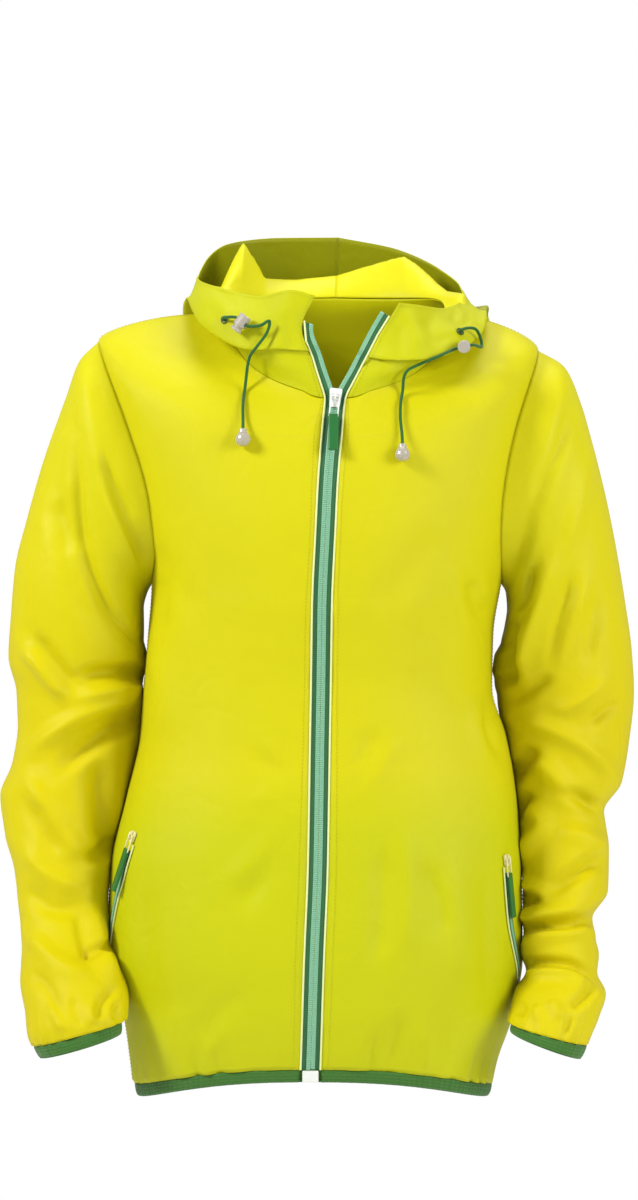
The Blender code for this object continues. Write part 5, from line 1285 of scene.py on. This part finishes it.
def ease_neckline(reach=0.036, near=0.009):
    """Round off the crease where the hood grows from the neckline: points close to the seam move to
    the mean of their surroundings on both sides of it."""
    parts = []
    for name, at_top in (("front_left", True), ("front_right", True), ("back", True),
                         ("hood_left", False), ("hood_right", False)):
        g = CLOTH[name]
        lengths = np.linalg.norm(np.diff(g, axis=0), axis=-1)
        d = np.vstack([np.zeros((1, g.shape[1])), np.cumsum(lengths, axis=0)])
        if at_top:
            d = d[-1:] - d
        side_len = np.linalg.norm(np.diff(g, axis=1), axis=-1)
        e = np.hstack([np.zeros((g.shape[0], 1)), np.cumsum(side_len, axis=1)])
        ends = {"front_left": e[:, -1:] - e, "front_right": e, "hood_left": e[:, -1:] - e, "hood_right": e}
        edge = ends.get(name, 0 * e + 1.0)
        parts.append((name, d < reach + 0.018, smooth_share(reach - d, 0.0, reach) * smooth_share(edge, 0.004, 0.020)))
    cloud = np.vstack([CLOTH[name][m] for name, m, w in parts])
    for name, m, w in parts:
        g = CLOTH[name]
        move = m & (w > 0.001)
        pts, out = g[move], []
        for k in range(0, len(pts), 400):
            q = pts[k:k + 400]
            d2 = ((q[:, None] - cloud[None]) ** 2).sum(-1)
            wt = np.exp(-d2 / (2 * near ** 2))
            out.append((wt @ cloud) / wt.sum(1, keepdims=True))
        g[move] = pts + (np.vstack(out) - pts) * w[move][:, None]


ease_neckline()


def surface(names, skip=1):
    pts, faces = [], []
    for name in names:
        g = CLOTH[name][:, ::skip]
        n0, (nv, nu) = len(pts), g.shape[:2]
        pts += [Vector(p) for p in g.reshape(-1, 3)]
        faces += [(n0 + j * nu + i, n0 + j * nu + i + 1, n0 + (j + 1) * nu + i + 1, n0 + (j + 1) * nu + i)
                  for j in range(nv - 1) for i in range(nu - 1)]
    return BVHTree.FromPolygons(pts, faces)


def lay_sleeves_on_torso():
    torso = surface(("front_left", "front_right", "back"))
    for side, tag in ((-1.0, "left"), (1.0, "right")):
        g = CLOTH["sleeve_" + tag]
        z = g[..., 2] / MM
        x = g[..., 0]
        mid = x.mean(axis=1, keepdims=True)
        half = np.abs(x - mid).max(axis=1, keepdims=True)
        inner = smooth_share(-side * (x - mid) / half, -0.2, 1.0)
        row_z = z.mean(axis=1, keepdims=True)
        rows = np.array(LAY_LEFT if side < 0 else LAY_RIGHT)
        pull_in = np.interp(-row_z, -rows[:, 0], rows[:, 1])
        g[..., 0] -= side * inner * pull_in * MM
        for j in range(g.shape[0]):
            if not -650 < row_z[j, 0] < -225:
                continue
            for i in range(g.shape[1]):
                p = Vector(g[j, i])
                if inner[j, i] < 0.05:
                    continue
                near, n, k, dist = torso.find_nearest(p, 0.03)
                if near is None:
                    continue
                gap = (p - near).dot(n)
                if gap < 0.0011:
                    g[j, i] = near + n * 0.0011


# how far the sleeve's inner side moves in to meet the torso
LAY_LEFT = (
    # z mm
    (-235.0, 0.0), (-255.0, 3.0), (-285.0, 5.0), (-300.0, 2.5), (-312.0, 2.5), (-330.0, 7.0), (-400.0, 9.5),
    (-470.0, 10.5), (-560.0, 12.0), (-600.0, 8.0), (-640.0, 1.0),
)
LAY_RIGHT = (
    # z mm
    (-235.0, 0.0), (-255.0, 4.0), (-290.0, 5.5), (-305.0, 3.0), (-330.0, 1.5), (-352.0, 4.0), (-380.0, 8.5),
    (-470.0, 9.5), (-540.0, 10.0), (-600.0, 6.0), (-640.0, 1.0),
)
lay_sleeves_on_torso()

for side, tag in ((-1.0, "left"), (1.0, "right")):
    for kind, look in (("front", "body"), ("sleeve", "sleeve"), ("hood", "hood")):
        piece = grid_mesh(kind + "_cloth_" + tag, CLOTH[kind + "_" + tag], kind == "sleeve", look,
                          kind + "_" + tag, flip=kind == "sleeve",
                          inside="hood_inside_painted_shade" if kind == "hood" else "inside")
piece = grid_mesh("back_cloth", CLOTH["back"], False, "back", "back")

# ------------------------------------------------------------------ bindings
def band(name, make, closed, node, waves, flip=False, thick=0.0019):
    """Elastic band, gathered: finely ruched, folded over the cloth's edge."""
    nu = n_of(closed or 900)
    g = make(nu)
    nv = g.shape[0]
    n = grid_normals(g, bool(closed))
    if flip:
        n = -n
    s = np.linspace(0, 2 * np.pi, nu, endpoint=not closed)
    ruche = 0.22 * np.sin(s * waves + 1.7 * np.sin(s * 13)) + 0.16 * np.sin(s * waves * 0.37 + 2.0)
    v = np.linspace(-1, 1, nv)[:, None]
    roll = -0.75 * np.abs(v) ** 3.0
    g = g + n * ((ruche[None, :] * (1 - 0.5 * v * v) + roll) * MM)[..., None]
    o = grid_mesh(name, g, bool(closed), "binding", node, thick=thick, inside="binding", flip=flip)
    return o


def hem_points(nu):
    rows = np.linspace(0.0, HEM_H, 7)
    e_r = zip_angle(1.0, rows, ZIP_HALF + PIPE_R * 2 + 0.2)
    e_l = zip_angle(-1.0, rows, ZIP_HALF + PIPE_R * 2 + 0.2)
    u = np.linspace(0, 1, nu)
    th = e_r[:, None] + (360.0 - e_l - e_r)[:, None] * u[None, :]
    return body(th, rows[:, None] + 0 * th)


band("hem_band", hem_points, 0, "hem_binding", 150)
for side, tag in ((-1.0, "left"), (1.0, "right")):
    def cuff_points(nu, side=side):
        psi = np.arange(nu) * 360.0 / nu
        s_, rings = sleeve_sections(side, psi)
        g = pchip(s_, rings, np.linspace(1.0 - 0.022, 1.0, 6))
        return g[:, ::-1] if side < 0 else g
    band("cuff_band_" + tag, cuff_points, 300, "cuff_binding_" + tag, 60, flip=True)


# ------------------------------------------------------------------ zips
def strip(name, frames, section, material, node=None):
    """Closed bar of a given section along a line, mapped in metres."""
    line, t, c, nn = frames
    rings = np.array([[line[i] + c[i] * a * MM + nn[i] * b * MM for a, b in section] for i in range(len(line))])
    nv, nu = rings.shape[:2]
    run = np.concatenate([[0], np.cumsum(np.linalg.norm(np.diff(line, axis=0), axis=1))])
    around = np.concatenate([[0], np.cumsum([math.dist(section[k], section[(k + 1) % nu]) for k in range(nu)])]) * MM
    verts = [tuple(p) for p in rings.reshape(-1, 3)]
    faces, uvs = [], []
    for j in range(nv - 1):
        for i in range(nu):
            k = (i + 1) % nu
            faces.append((j * nu + i, j * nu + k, (j + 1) * nu + k, (j + 1) * nu + i))
            uvs += [(around[i], run[j]), (around[i + 1], run[j]), (around[i + 1], run[j + 1]), (around[i], run[j + 1])]
    for row, order in ((0, range(nu - 1, -1, -1)), (nv - 1, range(nu))):
        faces.append(tuple(row * nu + i for i in order))
        uvs += [(around[i], run[row]) for i in order]
    me = bpy.data.meshes.new(name)
    me.from_pydata(verts, [], faces)
    me.update()
    me.uv_layers.new(name="cut").data.foreach_set("uv", np.array(uvs, np.float32).reshape(-1))
    bm = bmesh.new()
    bm.from_mesh(me)
    bmesh.ops.recalc_face_normals(bm, faces=bm.faces)
    bm.to_mesh(me)
    bm.free()
    o = bpy.data.objects.new(name, me)
    bpy.context.scene.collection.objects.link(o)
    me.materials.append(MAT[material])
    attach(o, "root")
    if node:
        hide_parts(node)
    return o


def teeth(name, frames, low, high, base, top, pitch, shift, material):
    """Row of coil turns across a line, each a small rounded bar."""
    line, t, c, nn = frames
    run = np.concatenate([[0], np.cumsum(np.linalg.norm(np.diff(line, axis=0), axis=1))])
    at = np.arange(run[0] + 0.001 + shift * pitch, run[-1] - 0.0008, pitch)
    P = np.stack([np.interp(at, run, line[:, k]) for k in range(3)], 1)
    T, C, N = (np.stack([np.interp(at, run, v[:, k]) for k in range(3)], 1) for v in (t, c, nn))
    w = pitch * 0.40
    prof = ((low, base, 1.0), (high, base, 1.0), (high, base + 0.7 * (top - base), 1.0), (high - 0.5 * np.sign(high - low), top, 0.6),
            (low + 0.4 * np.sign(high - low), top, 0.6), (low, base + 0.7 * (top - base), 1.0))
    verts, faces = [], []
    for p, tt, cc, n in zip(P, T, C, N):
        k = len(verts)
        for s in (-1, 1):
            for a, b, share in prof:
                verts.append(tuple(p + cc * a * MM + n * b * MM + tt * s * w * share))
        m = len(prof)
        faces.append(tuple(k + i for i in range(m - 1, -1, -1)))
        faces.append(tuple(k + m + i for i in range(m)))
        faces += [(k + i, k + (i + 1) % m, k + m + (i + 1) % m, k + m + i) for i in range(m)]
    me = bpy.data.meshes.new(name)
    me.from_pydata(verts, [], faces)
    me.update()
    bm = bmesh.new()
    bm.from_mesh(me)
    bmesh.ops.recalc_face_normals(bm, faces=bm.faces)
    bm.to_mesh(me)
    bm.free()
    me.materials.append(MAT[material])
    o = bpy.data.objects.new(name, me)
    bpy.context.scene.collection.objects.link(o)
    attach(o, "root")
    return o


def dashes(name, lines, material, length=0.0021, gap=0.0011, radius=0.00022):
    """Stitches: short threads laid end to end along lines of points and normals."""
    verts, faces = [], []
    for pts, nrm in lines:
        run = np.concatenate([[0], np.cumsum(np.linalg.norm(np.diff(pts, axis=0), axis=1))])
        at = np.arange(0.001, run[-1] - length, length + gap)
        if len(at) == 0:
            continue
        pick = lambda a, s: np.stack([np.interp(s, run, a[:, k]) for k in range(3)], 1)
        A, M_, B, N = pick(pts, at), pick(pts, at + length / 2), pick(pts, at + length), pick(nrm, at)
        for a, m_, b, n in zip(A, M_, B, N):
            d = (b - a) / max(np.linalg.norm(b - a), 1e-9)
            x = np.cross(d, n)
            x /= max(np.linalg.norm(x), 1e-9)
            k = len(verts)
            for p, r, up in ((a, 0.35, -0.1), (m_, 1.0, 0.7), (b, 0.35, -0.1)):
                for u_, v_ in ((-1, 0), (0, 1), (1, 0), (0, -1)):
                    verts.append(tuple(p + n * radius * up + (x * u_ + n * v_) * radius * r))
            for s in (0, 4):
                faces += [(k + s + i, k + s + (i + 1) % 4, k + s + 4 + (i + 1) % 4, k + s + 4 + i) for i in range(4)]
            faces += [(k + 3, k + 2, k + 1, k), (k + 8, k + 9, k + 10, k + 11)]
    me = bpy.data.meshes.new(name)
    me.from_pydata(verts, [], faces)
    me.update()
    bm = bmesh.new()
    bm.from_mesh(me)
    bmesh.ops.recalc_face_normals(bm, faces=bm.faces)
    bm.to_mesh(me)
    bm.free()
    me.shade_smooth()
    me.materials.append(MAT[material])
    o = bpy.data.objects.new(name, me)
    bpy.context.scene.collection.objects.link(o)
    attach(o, "root")
    return o


for side, tag in ((-1.0, "left"), (1.0, "right")):
    edge, t, sd, nn = zip_line(side, 360)
    for _ in range(60):
        for v in (sd, nn):
            v[1:-1] = (v[:-2] + 2 * v[1:-1] + v[2:]) / 4
            v /= np.linalg.norm(v, axis=1)[:, None]
    for _ in range(12):
        edge[1:-1] = (edge[:-2] + 2 * edge[1:-1] + edge[2:]) / 4
    base = edge - sd * EDGE_S * MM
    frames = (base, t, sd, nn)
    strip("zip_tape_cloth_" + tag, frames, ((3.0, -2.1), (9.0, -2.1), (9.0, -1.35), (3.0, -1.35)), "tape",
          "zip_tape_" + tag)
    strip("zip_coil_bed_" + tag, frames, ((0.25, -2.0), (3.6, -2.0), (3.6, -1.2), (3.2, -0.95), (0.6, -0.95), (0.25, -1.2)),
          "coil")
    teeth("zip_coil_" + tag, frames, 0.12, 3.5, -1.3, -0.25, 0.0016, 0.0 if side < 0 else 0.5, "coil")


def pocket_line(side):
    """The pocket zip's line on the front with its directions."""
    tab = np.array(POCKET_LEFT if side < 0 else POCKET_RIGHT)
    path = pchip(np.arange(len(tab)), tab, np.linspace(0, len(tab) - 1, 90))
    line = body(side * path[:, 0], path[:, 1])
    s = np.concatenate([[0], np.cumsum(np.linalg.norm(np.diff(line, axis=0), axis=1))])
    want = np.linspace(0, s[-1], 22)
    path = np.stack([np.interp(want, s, path[:, k]) for k in range(2)], 1)
    line = body(side * path[:, 0], path[:, 1])
    d_th = body(side * (path[:, 0] + 1.0), path[:, 1]) - line
    d_h = body(side * path[:, 0], path[:, 1] + 0.004) - line
    t, c, nn = frame_along(line, np.cross(d_th, d_h) * side)
    return line[3:], t[3:], c[3:], nn[3:]


def finer(frames, n):
    line, t, c, nn = frames
    q = np.linspace(0, len(line) - 1, n)
    return tuple(pchip(np.arange(len(line)), v, q) for v in frames)


for side, tag in ((-1.0, "left"), (1.0, "right")):
    frames = finer(pocket_line(side), 90)
    strip("pocket_tape_cloth_" + tag, frames, ((-4.2, 0.5), (4.2, 0.5), (4.2, 1.2), (-4.2, 1.2)), "tape",
          "pocket_zip_" + tag)
    teeth("pocket_coil_" + tag, frames, -1.5, 1.5, 0.9, 2.05, 0.0014, 0.0, "coil")


# ------------------------------------------------------------------ stitches
def row_line(g, k, closed=False, lift=0.0002):
    """Points and normals along row k of a grid."""
    n = grid_normals(g, closed)
    p = g + n * lift
    if closed:
        return np.vstack([p[k], p[k][:1]]), np.vstack([n[k], n[k][:1]])
    return p[k], n[k]


def column_line(g, f, lift=0.0002):
    """Points and normals along a fractional column of a grid."""
    n = grid_normals(g, False)
    i = int(f)
    w = f - i
    return (g[:, i] * (1 - w) + g[:, i + 1] * w) + n[:, i] * lift, n[:, i]


def seam_inset(g, closed, from_top, inset):
    """Row nearest to a distance from the end of a grid."""
    step = np.linalg.norm(np.diff(g, axis=0), axis=-1).mean(1)
    run = np.cumsum(step[::-1] if from_top else step)
    k = int(np.searchsorted(run, inset)) + 1
    return g.shape[0] - 1 - k if from_top else k


for side, tag in ((-1.0, "left"), (1.0, "right")):
    lines = []
    f = CLOTH["front_" + tag]
    for k in (1.1,):
        col = k if side > 0 else f.shape[1] - 1 - k
        lines.append(column_line(f, min(col, f.shape[1] - 1.01)))
    outer = 1.2 if side < 0 else f.shape[1] - 2.2
    lines.append(column_line(f, outer))
    dashes("front_stitches_" + tag, lines, "thread")
    h = CLOTH["hood_" + tag]
    lines = [row_line(h, h.shape[0] - 5)]
    col = 1.4 if side > 0 else h.shape[1] - 2.4
    lines.append(column_line(h, col))
    dashes("hood_stitches_" + tag, lines, "thread")
lines = [row_line(CLOTH["back"], 1)]
dashes("back_stitches", lines, "thread")

# ------------------------------------------------------------------ drawcords
def rope(name, pts, radius, material, node, sides=12):
    pts = np.array(pts)
    t = np.gradient(pts, axis=0)
    t /= np.linalg.norm(t, axis=1)[:, None]
    n = np.cross(t[0], (0.3, 0.5, 0.8))
    n /= np.linalg.norm(n)
    a = np.linspace(0, 2 * np.pi, sides, endpoint=False)
    frames, run = [], 0.0
    rings = []
    for i in range(len(pts)):
        n = n - t[i] * n.dot(t[i])
        n /= np.linalg.norm(n)
        b = np.cross(t[i], n)
        rings.append(pts[i] + radius * (np.cos(a)[:, None] * n + np.sin(a)[:, None] * b))
    rings = np.array(rings)
    nv = len(pts)
    s = np.concatenate([[0], np.cumsum(np.linalg.norm(np.diff(pts, axis=0), axis=1))])
    faces, uvs = [], []
    ring = 2 * np.pi * radius
    for j in range(nv - 1):
        for i in range(sides):
            k = (i + 1) % sides
            faces.append((j * sides + i, j * sides + k, (j + 1) * sides + k, (j + 1) * sides + i))
            u0, u1 = ring * i / sides, ring * (i + 1) / sides
            # the braid's map is turned so that its ribs run slantwise round the cord
            uvs += [(u0 + s[j], u0 - s[j]), (u1 + s[j], u1 - s[j]), (u1 + s[j + 1], u1 - s[j + 1]), (u0 + s[j + 1], u0 - s[j + 1])]
    faces += [tuple(range(sides - 1, -1, -1)), tuple((nv - 1) * sides + i for i in range(sides))]
    uvs += [(0, 0)] * (2 * sides)
    me = bpy.data.meshes.new(name)
    me.from_pydata([tuple(p) for p in rings.reshape(-1, 3)], [], faces)
    me.update()
    me.uv_layers.new(name="cut").data.foreach_set("uv", np.array(uvs, np.float32).reshape(-1))
    me.shade_smooth()
    me.materials.append(MAT[material])
    o = bpy.data.objects.new(name, me)
    bpy.context.scene.collection.objects.link(o)
    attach(o, "root")
    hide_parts(node)
    return o


def cord_route(side, table, axis):
    """The cord's centreline: from the eyelet through the lock and down to its end piece."""
    route, barrel, eye = [], None, None
    for kind, a, b, lift in table:
        if kind == "drop":
            route.append(drop_point(a, b, lift))
        else:
            p, n = hood_point(side, a, b, lift)
            if eye is None:
                eye = p - n * (lift - 0.55) * MM
            if kind == "barrel":
                barrel = (len(route), p)
            route.append(p)
    k, centre = barrel
    ax = Vector(axis).normalized()
    d = Vector(route[k + 1] - route[k - 1])
    d = (d - ax * d.dot(ax)).normalized()
    through = [centre + np.array(d) * u * MM for u in (-7.0, -3.5, 0.0, 3.5, 7.0)]
    line = rounded(np.array(route[:k] + through + route[k + 1:]), 52)
    end = line[-1].copy()
    px, py = table[-1][1:3]
    down = Vector(drop_point(px, py + 16.0, 0.0) - drop_point(px, py, 0.0)).normalized()
    line = np.vstack([line, [end + np.array(down) * s * MM for s in (2.5, 5.0, 8.2)]])
    return eye, line


COVER = surface(("front_left", "front_right", "hood_left", "hood_right"))
for side, tag, table, axis in ((-1.0, "left", CORD_LEFT, (0.60, -0.10, 0.79)), (1.0, "right", CORD_RIGHT, (0.10, 0.97, 0.10))):
    eye, line = cord_route(side, table, axis)
    n = 200
    q = np.linspace(0, len(line) - 1, n)
    line = pchip(np.arange(len(line)), line, q)
    for _ in range(4):
        for i in range(8, n - 12):
            near, nrm, k, dist = COVER.find_nearest(Vector(line[i]), 0.03)
            if near is not None and (Vector(line[i]) - near).dot(nrm) < 0.0018:
                line[i] = near + nrm * 0.0018
        line[8:-12] = (line[7:-13] + 2 * line[8:-12] + line[9:-11]) / 4
    piece = rope("drawcord_" + tag, line, CORD_D / 2 * MM, "cord", "cord_" + tag)

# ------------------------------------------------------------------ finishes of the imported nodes
FINISH = {
    "zip_piping_left": "piping", "zip_piping_right": "piping",
    "zip_slider": "white", "zip_pull": "white", "zip_pull_grip": "puller", "zip_box": "white",
    "pocket_piping_left": "piping", "pocket_piping_right": "piping",
    "pocket_slider_left": "cream", "pocket_slider_right": "cream", "pocket_pull_left": "cream", "pocket_pull_right": "cream",
    "pocket_grip_left": "puller", "pocket_grip_right": "puller", "cordlock_body_left": "clear",
    "cordlock_body_right": "clear", "cordlock_plunger_left": "clear", "cordlock_plunger_right": "clear",
    "cord_end_left": "clear", "cord_end_right": "clear", "eyelet_left": "eyelet", "eyelet_right": "eyelet",
}
for node, key in FINISH.items():
    o = NODES[node]
    o.data.materials.clear()
    o.data.materials.append(MAT[key])

# ------------------------------------------------------------------ light, floor and camera
scene = bpy.context.scene
scene.view_settings.view_transform = "Standard"
scene.view_settings.look = "None"
world = bpy.data.worlds.new("studio")
scene.world = world
world.use_nodes = True
world.node_tree.nodes["Background"].inputs[0].default_value = (1.0, 1.0, 1.0, 1.0)
world.node_tree.nodes["Background"].inputs[1].default_value = 0.42
wt = world.node_tree
plain = wt.nodes.new("ShaderNodeBackground")
plain.inputs[0].default_value = (1.0, 1.0, 1.0, 1.0)
seen = wt.nodes.new("ShaderNodeLightPath")
pick = wt.nodes.new("ShaderNodeMixShader")
wt.links.new(seen.outputs["Is Camera Ray"], pick.inputs["Fac"])
wt.links.new(wt.nodes["Background"].outputs[0], pick.inputs[1])
wt.links.new(plain.outputs[0], pick.inputs[2])
wt.links.new(pick.outputs[0], wt.nodes["World Output"].inputs["Surface"])


def area_light(name, place_at, aim, size, power, colour=(1, 1, 1)):
    light = bpy.data.lights.new(name, "AREA")
    light.energy = power
    light.size = size
    light.color = colour
    o = bpy.data.objects.new(name, light)
    o.location = place_at
    o.rotation_euler = (Vector(aim) - Vector(place_at)).to_track_quat("-Z", "Y").to_euler()
    scene.collection.objects.link(o)
    return o


area_light("key", (-2.2, -1.35, 1.35), (0, 0, -0.3), 0.75, 72)
area_light("fill", (2.1, -1.7, 0.5), (0, 0, -0.3), 1.3, 48)
area_light("top", (0.2, 0.5, 1.8), (0, 0, -0.2), 1.0, 20)

bpy.ops.mesh.primitive_plane_add(size=6, location=(0, 0, -1.42))
floor = bpy.context.active_object
floor.name = "floor"
fm = bpy.data.materials.new("floor_paint")
fm.use_nodes = True
fm.node_tree.nodes["Principled BSDF"].inputs["Base Color"].default_value = (0.9, 0.9, 0.9, 1)
fm.node_tree.nodes["Principled BSDF"].inputs["Roughness"].default_value = 0.9
floor.data.materials.append(fm)

cam = bpy.data.cameras.new("camera")
cam.sensor_width = 36.0
cam.sensor_fit = "AUTO"
cam.lens = 36.0 * VIEW_D / (1200.0 * VIEW_S)
cam_obj = bpy.data.objects.new("camera", cam)
cam_obj.location = (VIEW_X, -VIEW_D, VIEW_Z)
cam_obj.rotation_euler = (math.pi / 2, 0, 0)
scene.collection.objects.link(cam_obj)
scene.camera = cam_obj
